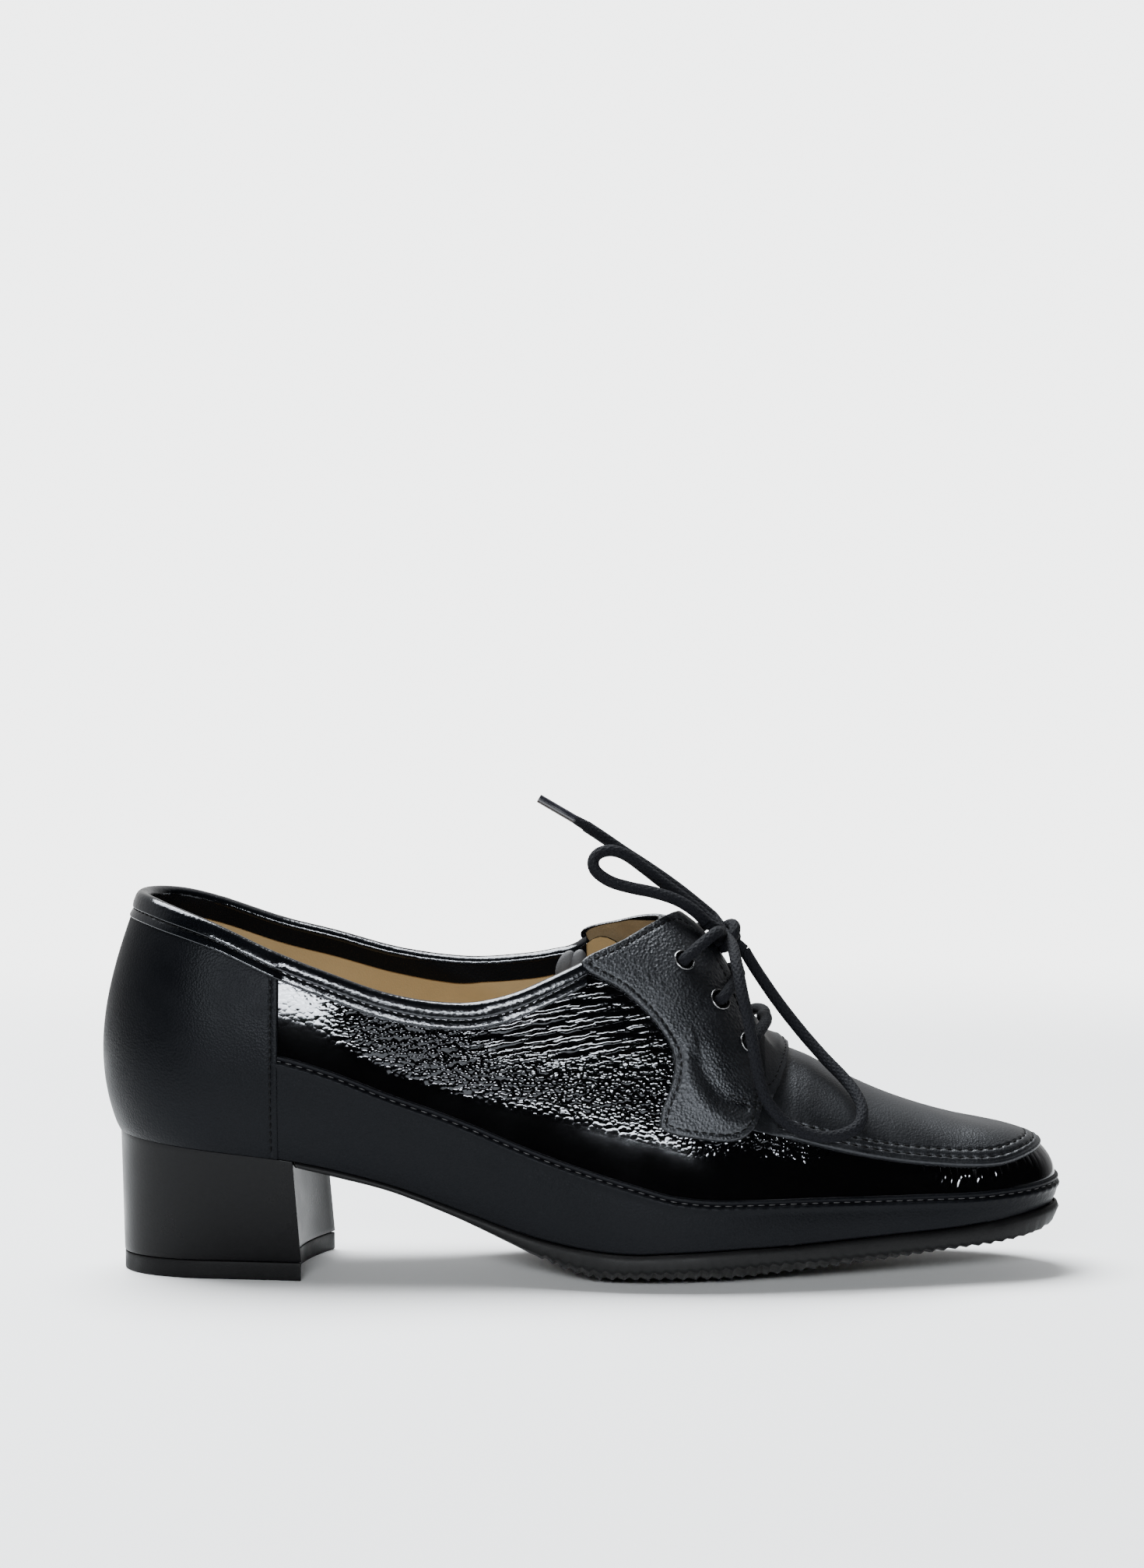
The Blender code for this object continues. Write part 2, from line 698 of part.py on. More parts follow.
def make_tongue(material):
    """Saddle-shaped strip that fills the slot and laps over the vamp at its front end."""
    rings = []
    for row in TONGUE:
        outer = []
        inner = []
        for i in range(TONGUE_ACROSS + 1):
            y = row.half * (2 * i / TONGUE_ACROSS - 1)
            lift = row.lift - row.sag * max(0.0, 1 - (y / TONGUE_SAG_HALF) ** 2)
            outer.append(width_point(row.x, y, lift))
            inner.append(width_point(row.x, y, lift - TONGUE_THICK))
        rings.append(outer + inner[::-1])
    return loft("tongue", rings, material)


# Lace flaps.
FLAP_THICK = 1.3
FLAP_SHELL_X = tuple(range(122, 183, 4))
FLAP_SHELL_ROWS = 10
FLAP_SHELL_FOOT = 14.0
FLAP_RIDGE_CLEAR = 8.0
FLAP_CUT_REACH = 70.0
FLAP_CURVE_STEPS = 2


class Corner(NamedTuple):
    """Point of a flap's edge, seen from the side."""

    x: float
    z: float


FLAP_EDGE = (
    Corner(128.6, 84.6),
    Corner(139.8, 90.3),
    Corner(148.2, 94.3),
    Corner(153.8, 95.8),
    Corner(158.6, 93.0),
    Corner(164.7, 85.8),
    Corner(168.3, 79.4),
    Corner(171.6, 71.8),
    Corner(174.0, 64.2),
    Corner(175.4, 55.5),
    Corner(175.9, 47.4),
    Corner(173.6, 41.8),
    Corner(168.6, 39.3),
    Corner(159.7, 40.1),
    Corner(150.6, 42.3),
    Corner(149.6, 46.4),
    Corner(152.6, 54.8),
    Corner(152.8, 61.8),
    Corner(148.1, 69.7),
    Corner(139.7, 77.6),
)


class Rise(NamedTuple):
    """How much higher the top of the medial flap stands than the lateral one's."""

    x: float
    rise: float


MEDIAL_RISE = (
    Rise(128.6, 3.5),
    Rise(139.8, 1.9),
    Rise(148.2, -0.5),
    Rise(153.8, -3.0),
    Rise(158.6, -2.0),
    Rise(168.3, 0.0),
)
RISE_FOOT = 78.0
RISE_FULL = 84.0


def flap_edge(side):
    """Corners of one flap's edge, seen from the side."""
    if side == LATERAL:
        return FLAP_EDGE
    corners = []
    for x, z in FLAP_EDGE:
        share = min(max((z - RISE_FOOT) / (RISE_FULL - RISE_FOOT), 0.0), 1.0)
        corners.append(Corner(x, z + share * straight(MEDIAL_RISE, x, Rise._fields.index("rise"))))
    return corners


def smooth_path(points, steps, closed=False):
    """Points along a smooth curve through the given ones, with this many steps between neighbours."""
    known = np.asarray(points, float)
    count = len(known)
    path = []
    for i in range(count if closed else count - 1):
        if closed:
            before, start, end, after = (known[(i + k) % count] for k in (-1, 0, 1, 2))
        else:
            before, start, end, after = (known[min(max(i + k, 0), count - 1)] for k in (-1, 0, 1, 2))
        for k in range(steps):
            t = k / steps
            path.append(
                start
                + 0.5 * t * (end - before)
                + t**2 * (before - 2.5 * start + 2 * end - 0.5 * after)
                + t**3 * (-0.5 * before + 1.5 * start - 1.5 * end + 0.5 * after)
            )
    return path if closed else path + [known[-1]]


def cut_with(obj, cutter, operation):
    """Boolean of an object with a helper that stays out of the finished part."""
    cutter.hide_render = True
    cutter.display_type = "WIRE"
    cut = obj.modifiers.new(cutter.name, "BOOLEAN")
    cut.operation = operation
    cut.solver = "EXACT"
    cut.object = cutter


def make_flap(name, side, material):
    """Lace flap: a shell just off the wall, cut to the flap's edge as seen from the side."""
    rings = []
    for x in FLAP_SHELL_X:
        column = Column(side, x - HEEL_POLE)
        stop = column.first(FLAP_RIDGE_CLEAR - np.abs(column.points[:, 1]))
        arcs = [FLAP_SHELL_FOOT] + spread(FLAP_SHELL_FOOT, stop, FLAP_SHELL_ROWS)
        outer = [column.at(arc, GAP + FLAP_THICK) for arc in arcs]
        inner = [column.at(arc, GAP) for arc in reversed(arcs)]
        rings.append(outer + inner)
    flap = loft(name, rings, material)
    edge = smooth_path(flap_edge(side), FLAP_CURVE_STEPS, closed=True)
    loops = [[np.array([p[0], side * y, p[1]]) for p in edge] for y in (0.0, FLAP_CUT_REACH)]
    cut_with(flap, loft(name + "_edge", loops, None), "INTERSECT")
    return flap


class Eyelet(NamedTuple):
    """Place of an eyelet on its flap, as a point in plan."""

    name: str
    x: float
    off_ridge: float


EYELETS = (
    Eyelet("top", 155.6, 16.2),
    Eyelet("middle", 164.8, 18.4),
    Eyelet("bottom", 172.2, 20.2),
)
EYELET_BORE = 2.0
EYELET_NECK = 2.5
EYELET_FLANGE = 3.3
EYELET_FLANGE_THICK = 0.6
EYELET_NECK_LENGTH = 1.9
EYELET_STEPS = 12
EYELET_HOLE = EYELET_NECK + GAP
FLAP_FACE = GAP + FLAP_THICK


def flap_frame(x, y, lift):
    """Place and outward direction on a flap over a point in plan."""
    low = width_point(x, y, 0.0)
    out = width_point(x, y, 1.0) - low
    return low + lift * out, out


def turn_profile(name, profile, centre, out, steps, material):
    """Solid of revolution: a closed profile of (radius, height) rows spun about an axis."""
    axis = Vector(out).normalized()
    across = axis.orthogonal().normalized()
    origin = to_world(centre)
    bm = bmesh.new()
    verts = [bm.verts.new(origin + (across * r + axis * h) * MM) for r, h in profile]
    edges = [bm.edges.new((verts[i], verts[(i + 1) % len(verts)])) for i in range(len(verts))]
    bmesh.ops.spin(
        bm, geom=verts + edges, cent=origin, axis=axis, angle=2 * math.pi, steps=steps, use_merge=True
    )
    return make_object(name, bm, material)


def make_eyelets(flaps, material):
    """Flanged rings set in holes through the flaps, three a side."""
    top = EYELET_FLANGE_THICK + GAP
    profile = (
        (EYELET_BORE, top - EYELET_NECK_LENGTH),
        (EYELET_NECK, top - EYELET_NECK_LENGTH),
        (EYELET_NECK, GAP),
        (EYELET_FLANGE, GAP),
        (EYELET_FLANGE - EYELET_FLANGE_THICK / 2, top),
        (EYELET_BORE + EYELET_FLANGE_THICK / 2, top),
        (EYELET_BORE, top - EYELET_FLANGE_THICK / 2),
    )
    hole = (
        (0.0, -2 * FLAP_THICK),
        (EYELET_HOLE, -2 * FLAP_THICK),
        (EYELET_HOLE, FLAP_THICK),
        (0.0, FLAP_THICK),
    )
    for side, side_name in ((LATERAL, "lateral"), (MEDIAL, "medial")):
        for eyelet in EYELETS:
            centre, out = flap_frame(eyelet.x, side * eyelet.off_ridge, FLAP_FACE)
            name = f"eyelet_{side_name}_{eyelet.name}"
            turn_profile(name, profile, centre, out, EYELET_STEPS, material)
            cutter = turn_profile(name + "_hole", hole, centre, out, EYELET_STEPS, None)
            cut_with(flaps[side], cutter, "DIFFERENCE")


class Binding(NamedTuple):
    """Point of the collar binding's section: off the wall's outer face, and up from its edge."""

    off: float
    up: float


BINDING_LEG = 0.65
BINDING_GAP = 0.45
BINDING_OUT = BINDING_GAP + BINDING_LEG
BINDING_IN = -WALL - GAP - BINDING_LEG
BINDING = (
    Binding(BINDING_GAP, -2.6),
    Binding(BINDING_OUT, -2.6),
    Binding(BINDING_OUT + 0.2, -1.0),
    Binding(BINDING_OUT + 0.1, 0.6),
    Binding(0.3, 1.7),
    Binding(-WALL / 2, 2.0),
    Binding(-WALL - 0.3, 1.6),
    Binding(BINDING_IN - 0.1, 0.5),
    Binding(BINDING_IN, -4.6),
    Binding(-WALL - GAP, -4.6),
    Binding(-WALL - GAP, GAP),
    Binding(BINDING_GAP, GAP),
)


def make_binding(material):
    """Roll over the collar edge, from one flap round the heel to the other."""
    stations = HEEL_ANGLES + tuple(x - HEEL_POLE for x in COLLAR_X)
    places = [(MEDIAL, q) for q in reversed(stations)] + [(LATERAL, q) for q in stations[1:]]
    rings = []
    for side, station in places:
        column = Column(side, station)
        top = column.top()
        counter = COUNTER_LIFT if column.foot_x < COUNTER_SEAM_X else 0.0
        ring = []
        for row in BINDING:
            proud = skived(counter, max(-row.up, 0.0)) if row.off > 0 else 0.0
            point = column.at(top + min(row.up, 0.0), row.off + proud)
            ring.append(point + max(row.up, 0.0) * column.up(top))
        rings.append(ring)
    return loft("collar_binding", rings, material)


# Lace. Places are in plan with a lift off the wall where it lies on the shoe, and in space elsewhere.
LACE = 3.2
LACE_SIDES = 8
LACE_STEP = 2.4
CURVE_STEPS = 12
BAR_LIFT = FLAP_FACE + EYELET_FLANGE_THICK + 4 * GAP + LACE / 2


class Bar(NamedTuple):
    """Lace bar between two eyelets: how far forward it bows, and its lift off the ridge."""

    name: str
    eyelet: Eyelet
    bow: float
    ridge_lift: float


BARS = (
    Bar("lace_bar_lower", EYELETS[2], 4.6, 0.9),
    Bar("lace_bar_upper", EYELETS[1], 5.2, 0.4),
)
BAR_SHARES = (-1.0, -0.82, -0.62, -0.4, -0.18, 0.0, 0.18, 0.4, 0.62, 0.82, 1.0)
BAR_DIP = 0.55


def tube_rings(path, radius, sides):
    """Rings round a path, each square to it and turned as little as possible from the one before."""
    path = [Vector(p) for p in path]
    rings = []
    across = None
    for i, centre in enumerate(path):
        ahead = (path[min(i + 1, len(path) - 1)] - path[max(i - 1, 0)]).normalized()
        across = ahead.orthogonal() if across is None else across - ahead * across.dot(ahead)
        across.normalize()
        other = ahead.cross(across)
        turns = [2 * math.pi * k / sides for k in range(sides)]
        spokes = [across * math.cos(t) + other * math.sin(t) for t in turns]
        rings.append([np.array(centre + radius * spoke) for spoke in spokes])
    return rings


def make_bar(bar, material):
    """Bar of lace that lies on both flaps and dips to the tongue between them."""
    points = []
    for share in BAR_SHARES:
        lift = bar.ridge_lift + (BAR_LIFT - bar.ridge_lift) * abs(share) ** BAR_DIP
        x = bar.eyelet.x + bar.bow * (1 - share**2)
        points.append(width_point(x, share * bar.eyelet.off_ridge, lift))
    return loft(bar.name, tube_rings(points, LACE / 2, LACE_SIDES), material)


class Place(NamedTuple):
    """Point of a free run of lace."""

    x: float
    y: float
    z: float


KNOT = Place(167.8, -2.6, 90.4)
KNOT_RADII = (4.8, 4.6, 4.1)
KNOT_TILT = math.radians(-20)
KNOT_MERIDIANS = 12
KNOT_PARALLELS = 8
LEG_FORWARD = 4.6
LEG_SHARE = 0.62
LEG_LIFT = 3.0
LEG_STEPS = 4

LOOP_REAR = (
    Place(162.2, -6.0, 94.2),
    Place(158.6, -6.8, 97.6),
    Place(154.0, -7.4, 100.4),
    Place(148.0, -8.0, 102.4),
    Place(142.0, -8.6, 103.7),
    Place(136.5, -8.8, 105.4),
    Place(132.7, -8.4, 108.1),
    Place(132.0, -7.6, 110.8),
    Place(133.6, -6.8, 112.8),
    Place(137.0, -5.8, 113.4),
    Place(140.8, -4.6, 112.0),
    Place(145.4, -3.4, 108.6),
    Place(150.4, -2.4, 104.6),
    Place(155.8, -1.6, 100.6),
    Place(161.6, -1.2, 95.8),
)
LOOP_FRONT = (
    Place(172.6, -3.0, 86.2),
    Place(176.0, -3.2, 80.6),
    Place(181.8, -4.0, 72.2),
    Place(188.0, -5.4, 64.4),
    Place(194.0, -8.8, 57.8),
    Place(198.8, -13.0, 53.2),
    Place(201.8, -18.0, 49.6),
    Place(203.2, -22.8, 46.0),
    Place(202.0, -26.6, 42.6),
    Place(198.0, -29.2, 40.6),
    Place(192.2, -31.2, 40.2),
    Place(186.4, -32.0, 41.8),
    Place(181.4, -32.2, 45.0),
    Place(177.6, -32.4, 49.8),
    Place(175.6, -32.2, 55.2),
    Place(174.2, -30.8, 62.4),
    Place(172.8, -28.6, 70.4),
    Place(171.2, -26.0, 77.6),
    Place(170.0, -21.4, 84.0),
    Place(169.2, -14.4, 88.0),
    Place(168.6, -9.0, 89.2),
)
END_REAR = (
    Place(164.4, 2.4, 94.6),
    Place(160.8, 2.8, 97.6),
    Place(154.2, 3.2, 102.8),
    Place(147.2, 3.6, 107.7),
    Place(140.0, 3.6, 112.4),
    Place(134.8, 3.4, 116.0),
    Place(130.0, 3.2, 119.2),
)
TIP_REAR = (
    Place(129.6, 3.2, 119.5),
    Place(117.4, 2.6, 126.7),
)
END_FRONT = (
    Place(170.4, 3.6, 89.2),
    Place(168.6, 12.0, 87.0),
    Place(164.4, 20.0, 81.6),
    Place(160.6, 25.6, 74.4),
    Place(159.2, 30.8, 66.0),
    Place(158.6, 34.4, 58.0),
)
TIP_FRONT = (
    Place(158.6, 34.6, 57.6),
    Place(158.8, 37.8, 47.2),
)
LACE_TIP = 2.4
CORD_RESOLUTION = 2


def make_cord(name, route, diameter, material):
    """Round cord along a smooth curve through its route, with flat ends."""
    path = smooth_path(route, CURVE_STEPS)
    lengths = [0.0]
    for first, second in zip(path, path[1:]):
        lengths.append(lengths[-1] + float(np.linalg.norm(np.subtract(second, first))))
    count = max(2, round(lengths[-1] / (LACE_STEP * diameter)))
    curve = bpy.data.curves.new(name, "CURVE")
    curve.dimensions = "3D"
    curve.bevel_depth = diameter / 2 * MM
    curve.bevel_resolution = CORD_RESOLUTION
    curve.use_fill_caps = True
    spline = curve.splines.new("POLY")
    spline.points.add(count)
    for i, point in enumerate(spline.points):
        place = [np.interp(lengths[-1] * i / count, lengths, [p[k] for p in path]) for k in range(3)]
        point.co = (*to_world(place), 1.0)
    curve.materials.append(material)
    obj = bpy.data.objects.new(name, curve)
    bpy.context.scene.collection.objects.link(obj)
    return obj


def make_knot(material):
    """Knot over the throat, with a leg to each top eyelet."""
    bm = bmesh.new()
    bmesh.ops.create_uvsphere(bm, u_segments=KNOT_MERIDIANS, v_segments=KNOT_PARALLELS, radius=1.0)
    for vert in bm.verts:
        x, y, z = (c * r for c, r in zip(vert.co, KNOT_RADII))
        turned = (
            x * math.cos(KNOT_TILT) - z * math.sin(KNOT_TILT),
            y,
            x * math.sin(KNOT_TILT) + z * math.cos(KNOT_TILT),
        )
        vert.co = to_world(np.add(turned, KNOT))
    knot = make_object("lace_knot", bm, material)
    top = EYELETS[0]
    for side, side_name in ((LATERAL, "lateral"), (MEDIAL, "medial")):
        off = side * top.off_ridge
        start = width_point(top.x, off, BAR_LIFT)
        middle = width_point(top.x + LEG_FORWARD, off * LEG_SHARE, BAR_LIFT + LEG_LIFT)
        rings = tube_rings(smooth_path([start, middle, KNOT], LEG_STEPS), LACE / 2, LACE_SIDES)
        leg = loft(f"lace_leg_{side_name}", rings, material)
        cut_with(knot, leg, "UNION")
    return knot


def main():
    clear_scene()
    leather = make_material("black_leather", (0.012, 0.012, 0.014), 0.5)
    lining = make_material("tan_lining", (0.33, 0.2, 0.09), 0.7)
    rubber = make_material("sole_rubber", (0.02, 0.02, 0.021), 0.7)
    heel = make_material("heel_cover", (0.01, 0.01, 0.011), 0.35)
    lift = make_material("lift_rubber", (0.014, 0.014, 0.015), 0.6)
    tongue = make_material("tongue_leather", (0.012, 0.012, 0.014), 0.55)
    flap = make_material("flap_leather", (0.012, 0.012, 0.014), 0.5)
    patent = make_material("patent_binding", (0.006, 0.006, 0.007), 0.12)
    steel = make_material("eyelet_metal", (0.6, 0.6, 0.62), 0.25, 1.0)
    cotton = make_material("lace_cotton", (0.012, 0.012, 0.014), 0.8)
    clear_tip = make_material("lace_tip", (0.05, 0.05, 0.055), 0.2)
    make_upper(leather)
    make_outsole(rubber)
    make_heel(heel, lift)
    make_insole(lining)
    make_tongue(tongue)
    flaps = {
        LATERAL: make_flap("eyestay_lateral", LATERAL, flap),
        MEDIAL: make_flap("eyestay_medial", MEDIAL, flap),
    }
    make_eyelets(flaps, steel)
    make_binding(patent)
    for bar in BARS:
        make_bar(bar, cotton)
    make_knot(cotton)
    make_cord("lace_loop_rear", LOOP_REAR, LACE, cotton)
    make_cord("lace_loop_front", LOOP_FRONT, LACE, cotton)
    make_cord("lace_end_rear", END_REAR, LACE, cotton)
    make_cord("lace_end_front", END_FRONT, LACE, cotton)
    make_cord("lace_tip_rear", TIP_REAR, LACE_TIP, clear_tip)
    make_cord("lace_tip_front", TIP_FRONT, LACE_TIP, clear_tip)


main()
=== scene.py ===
"""Looks of the heeled derby, right shoe: panels, seams, stitches, sole, heel and lace over the CAD frame.

Shapes are worked out in millimetres in the shoe's own frame: x from the back of the counter to the toe, y
from the lateral to the medial side, z up from the floor. They are set down in metres, with the origin under
the middle.
"""

from __future__ import annotations

import logging
import math
from dataclasses import dataclass
from enum import Enum
from functools import lru_cache
from typing import Callable, NamedTuple, Sequence

import bmesh
import bpy
import numpy as np
from mathutils import Matrix, Vector


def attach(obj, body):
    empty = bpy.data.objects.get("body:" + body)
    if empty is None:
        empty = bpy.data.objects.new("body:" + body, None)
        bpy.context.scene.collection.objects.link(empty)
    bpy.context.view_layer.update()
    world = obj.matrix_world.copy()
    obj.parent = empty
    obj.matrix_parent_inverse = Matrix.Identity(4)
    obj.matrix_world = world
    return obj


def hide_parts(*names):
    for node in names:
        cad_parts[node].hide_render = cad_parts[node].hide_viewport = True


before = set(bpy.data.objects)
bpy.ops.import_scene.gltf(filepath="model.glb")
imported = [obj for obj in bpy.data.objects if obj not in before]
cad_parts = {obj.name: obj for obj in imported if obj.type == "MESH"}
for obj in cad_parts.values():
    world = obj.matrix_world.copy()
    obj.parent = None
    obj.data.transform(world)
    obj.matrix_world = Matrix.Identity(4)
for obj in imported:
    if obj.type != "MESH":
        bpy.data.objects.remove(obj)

log = logging.getLogger("derby")

Socket = bpy.types.NodeSocket
Mesh = bmesh.types.BMesh
Array = np.ndarray
Sheet = tuple[Array, Array]
Span = tuple[float, float]
Triple = tuple[float, float, float]

MM = 0.001
LENGTH = 258.0
NUDGE = 0.3
OPEN_TOP = 200.0
EDGE_ROLL = 0.5
MERGE = 2e-3


class Side(Enum):
    """Side of the shoe, as the sign of y."""

    LATERAL = -1
    MEDIAL = 1

    @property
    def other(self) -> "Side":
        """The side across."""
        return Side(-self.value)

    @property
    def word(self) -> str:
        """The side's name as it stands in other names."""
        return self.name.lower()

    def pick(self, row: NamedTuple, name: str) -> float:
        """This side's one of a pair of columns."""
        return getattr(row, f"{self.word}_{name}")


def table_of(kind: type, *rows: tuple) -> tuple:
    """Table of one kind of row, from plain values in the order of its columns."""
    return tuple(kind(*row) for row in rows)


class Section(NamedTuple):
    """One section of the last: feather edge, ridge, and how the wall swells and rounds over between them."""

    x: float
    lateral_y: float
    medial_y: float
    lateral_z: float
    medial_z: float
    ridge_y: float
    ridge_z: float
    lateral_bulge: float
    medial_bulge: float
    bulge_top: float
    side_power: float
    crown_power: float


SECTIONS = table_of(
    Section,
    (0, -24.0, 24.5, 39.4, 39.4, 0.0, 137.0, 5.0, 5.0, 0.6, 2.6, 2.0),
    (34, -25.0, 25.8, 35.4, 35.4, 0.0, 140.0, 4.6, 4.8, 0.58, 3.2, 2.0),
    (53, -26.6, 26.2, 33.1, 33.3, 0.0, 140.0, 4.2, 5.0, 0.54, 3.2, 2.0),
    (80, -27.6, 24.6, 26.6, 27.6, 0.0, 130.0, 3.8, 6.4, 0.54, 2.8, 1.9),
    (100, -29.6, 24.6, 19.5, 20.6, 0.0, 118.0, 3.0, 6.4, 0.56, 2.4, 1.85),
    (120, -33.4, 28.0, 13.0, 13.8, 0.0, 108.5, 2.0, 4.6, 0.56, 2.1, 1.8),
    (140, -37.4, 34.6, 10.2, 10.4, 0.0, 101.5, 1.4, 2.4, 0.56, 1.9, 1.75),
    (155, -38.4, 38.0, 10.7, 10.7, 0.0, 95.0, 1.2, 1.4, 0.56, 1.85, 1.75),
    (165, -37.9, 39.0, 11.2, 11.2, 0.0, 86.0, 1.2, 1.2, 0.56, 1.85, 1.75),
    (173, -36.9, 39.0, 11.6, 11.6, 0.0, 74.8, 1.2, 1.2, 0.56, 1.85, 1.75),
    (178, -36.1, 38.7, 11.8, 11.8, 0.0, 65.6, 1.2, 1.2, 0.58, 1.87, 1.77),
    (182, -35.4, 38.3, 12.0, 12.0, 0.0, 60.6, 1.2, 1.2, 0.6, 1.9, 1.8),
    (190, -33.7, 37.0, 12.5, 12.5, 0.0, 56.2, 1.1, 1.1, 0.6, 2.0, 1.9),
    (210, -28.6, 32.0, 13.8, 13.8, 0.5, 46.4, 1.0, 1.0, 0.7, 2.3, 2.2),
    (230, -22.6, 25.2, 15.0, 15.0, 1.0, 40.2, 0.9, 0.9, 0.8, 2.6, 2.6),
    (258, -14.0, 16.0, 18.8, 18.8, 1.0, 36.0, 2.0, 2.0, 1.0, 4.6, 4.4),
)


class Lines(NamedTuple):
    """Heights of the panel edges along the shoe."""

    x: float
    mudguard: float
    apron: float


LINES = table_of(
    Lines,
    (0, 64.0, 82.0), (12, 64.0, 82.0), (20, 63.8, 81.0), (29, 63.4, 79.5), (48, 61.8, 74.5),
    (62, 57.8, 69.5), (78, 51.6, 64.0), (90, 47.4, 60.5), (100, 43.6, 58.0), (111, 39.0, 56.0),
    (120, 35.6, 55.0), (129, 32.6, 54.0), (144, 28.1, 51.0), (152, 25.9, 48.5), (160, 24.8, 46.0),
    (175, 24.4, 41.5), (189, 24.4, 37.5), (201, 24.3, 34.5), (222, 24.0, 31.0), (231, 23.9, 30.2),
    (242, 24.4, 30.5), (248, 24.8, 32.0), (252, 25.2, 33.4), (258, 26.0, 37.5),
)


class Rim(NamedTuple):
    """Heights of the collar's edge along the shoe."""

    x: float
    lateral: float
    medial: float


RIM = table_of(
    Rim,
    (0, 100.4, 100.4), (12, 100.2, 100.4), (20, 98.0, 99.2), (29, 95.0, 96.8), (48, 86.6, 90.4),
    (62, 81.2, 87.0), (78, 75.7, 82.8), (90, 73.5, 80.8), (100, 73.2, 80.2), (111, 75.6, 80.9),
    (120, 79.4, 82.2), (129, 83.6, 85.4), (131, 84.6, 87.4), (134, 85.4, 88.8), (138, 86.0, 87.6),
    (142, 86.6, 84.0),
)


class Throat(NamedTuple):
    """Half-widths of the slot under the lace flaps. The medial wall runs up behind its flap."""

    x: float
    lateral: float
    medial: float


RIM_END = 131.0
THROAT = table_of(
    Throat,
    (0, 0.0, 0.0), (118, 0.0, 0.0), (128, 20.5, 14.0), (142, 20.8, 14.0), (143, 20.8, 20.8),
    (156, 21.0, 21.0), (174, 20.5, 20.5), (177, 19.0, 19.0), (178.6, 16.0, 16.0), (180, 10.0, 10.0),
    (180.8, 0.0, 0.0), (258, 0.0, 0.0),
)


class Tread(NamedTuple):
    """Outsole along the shoe: its rim, its lowest line, how far it stands out and how deep it is dished."""

    x: float
    rim_z: float
    middle_z: float
    outset: float
    dish: float


TREAD = table_of(
    Tread,
    (50, 31.9, 31.4, 0.9, 0.2), (64, 28.6, 27.8, 0.9, 0.5), (78, 25.0, 24.0, 0.9, 0.9),
    (94, 19.0, 17.4, 1.0, 1.6), (111, 11.8, 9.2, 1.2, 2.6), (119, 8.4, 5.2, 1.4, 3.4),
    (127, 5.8, 1.8, 1.6, 4.2), (135, 4.6, -0.2, 1.8, 4.8), (148, 4.6, -0.6, 1.9, 5.0),
    (162, 5.4, -0.3, 1.9, 5.0), (175, 6.3, 0.7, 1.9, 4.8), (189, 7.0, 2.2, 1.9, 4.2),
    (201, 7.6, 3.6, 1.9, 3.6), (222, 8.9, 6.2, 1.9, 2.4), (244, 10.3, 9.2, 2.3, 1.2),
    (258, 12.0, 11.6, 3.0, 0.8),
)


class Lift(NamedTuple):
    """Half-widths of the heel at the floor, before its back is rounded."""

    x: float
    lateral_y: float
    medial_y: float


LIFT = table_of(
    Lift,
    (0, -16.6, 18.4), (30, -19.2, 21.4), (54, -22.4, 23.8), (64, -23.6, 24.6),
)


class TongueRow(NamedTuple):
    """Tongue along the ridge: half its width, its outer face's lift off the wall, and its middle's sag."""

    x: float
    half: float
    lift: float
    sag: float


TONGUE = table_of(
    TongueRow,
    (150.6, 17.0, -2.2, 0.0), (152, 18.6, -2.0, 0.0), (157, 19.4, -1.5, 0.2), (162, 19.6, -1.0, 0.6),
    (168, 19.4, -0.8, 1.2), (172, 19.2, -0.8, 1.4), (174, 20.8, -0.5, 1.7), (176.4, 21.4, 1.3, 2.8),
    (176.7, 25.2, 1.4, 2.8), (178.6, 24.0, 1.6, 2.0), (180.6, 20.0, 1.9, 0.0), (182.2, 14.0, 2.1, 0.0),
    (183.2, 7.0, 2.2, 0.0),
)


class Corner(NamedTuple):
    """Point of a flap, seen from the side."""

    x: float
    z: float


FLAP_EDGE = table_of(
    Corner,
    (128.6, 84.6), (139.8, 90.3), (148.2, 94.3), (153.8, 95.8), (158.6, 93.0), (164.7, 85.8), (168.3, 79.4),
    (171.6, 71.8), (174.0, 64.2), (175.4, 55.5), (175.9, 47.4), (173.6, 41.8), (168.6, 39.3), (159.7, 40.1),
    (150.6, 42.3), (149.6, 46.4), (152.6, 54.8), (152.8, 61.8), (148.1, 69.7), (139.7, 77.6),
)
FLAP_CREASE = table_of(
    Corner,
    (159.6, 60.5), (160.6, 57.0), (163.0, 52.6), (166.4, 49.2), (171.4, 47.4),
)
BAR_TACK = (Corner(167.6, 49.4), Corner(175.4, 46.6))
LIT_EDGE = table_of(
    Corner,
    (49, 73.0), (68, 67.0), (78, 62.0), (99, 55.0), (120, 51.0), (150, 45.0), (163, 40.0), (186, 34.5),
)


class Rise(NamedTuple):
    """How much higher the top of the medial flap stands than the lateral one's."""

    x: float
    rise: float


MEDIAL_RISE = table_of(
    Rise,
    (128.6, 3.5), (139.8, 1.9), (148.2, -0.5), (153.8, -3.0), (158.6, -2.0), (168.3, 0.0),
)
RISE_FOOT = 78.0
RISE_FULL = 84.0


class EyeletPlace(NamedTuple):
    """Place of an eyelet on its flap, as a point in plan."""

    name: str
    x: float
    off_ridge: float


EYELETS = table_of(
    EyeletPlace,
    ("top", 155.6, 16.2), ("middle", 164.8, 18.4), ("bottom", 172.2, 20.2),
)


class Place(NamedTuple):
    """Point of a free run of lace."""

    x: float
    y: float
    z: float


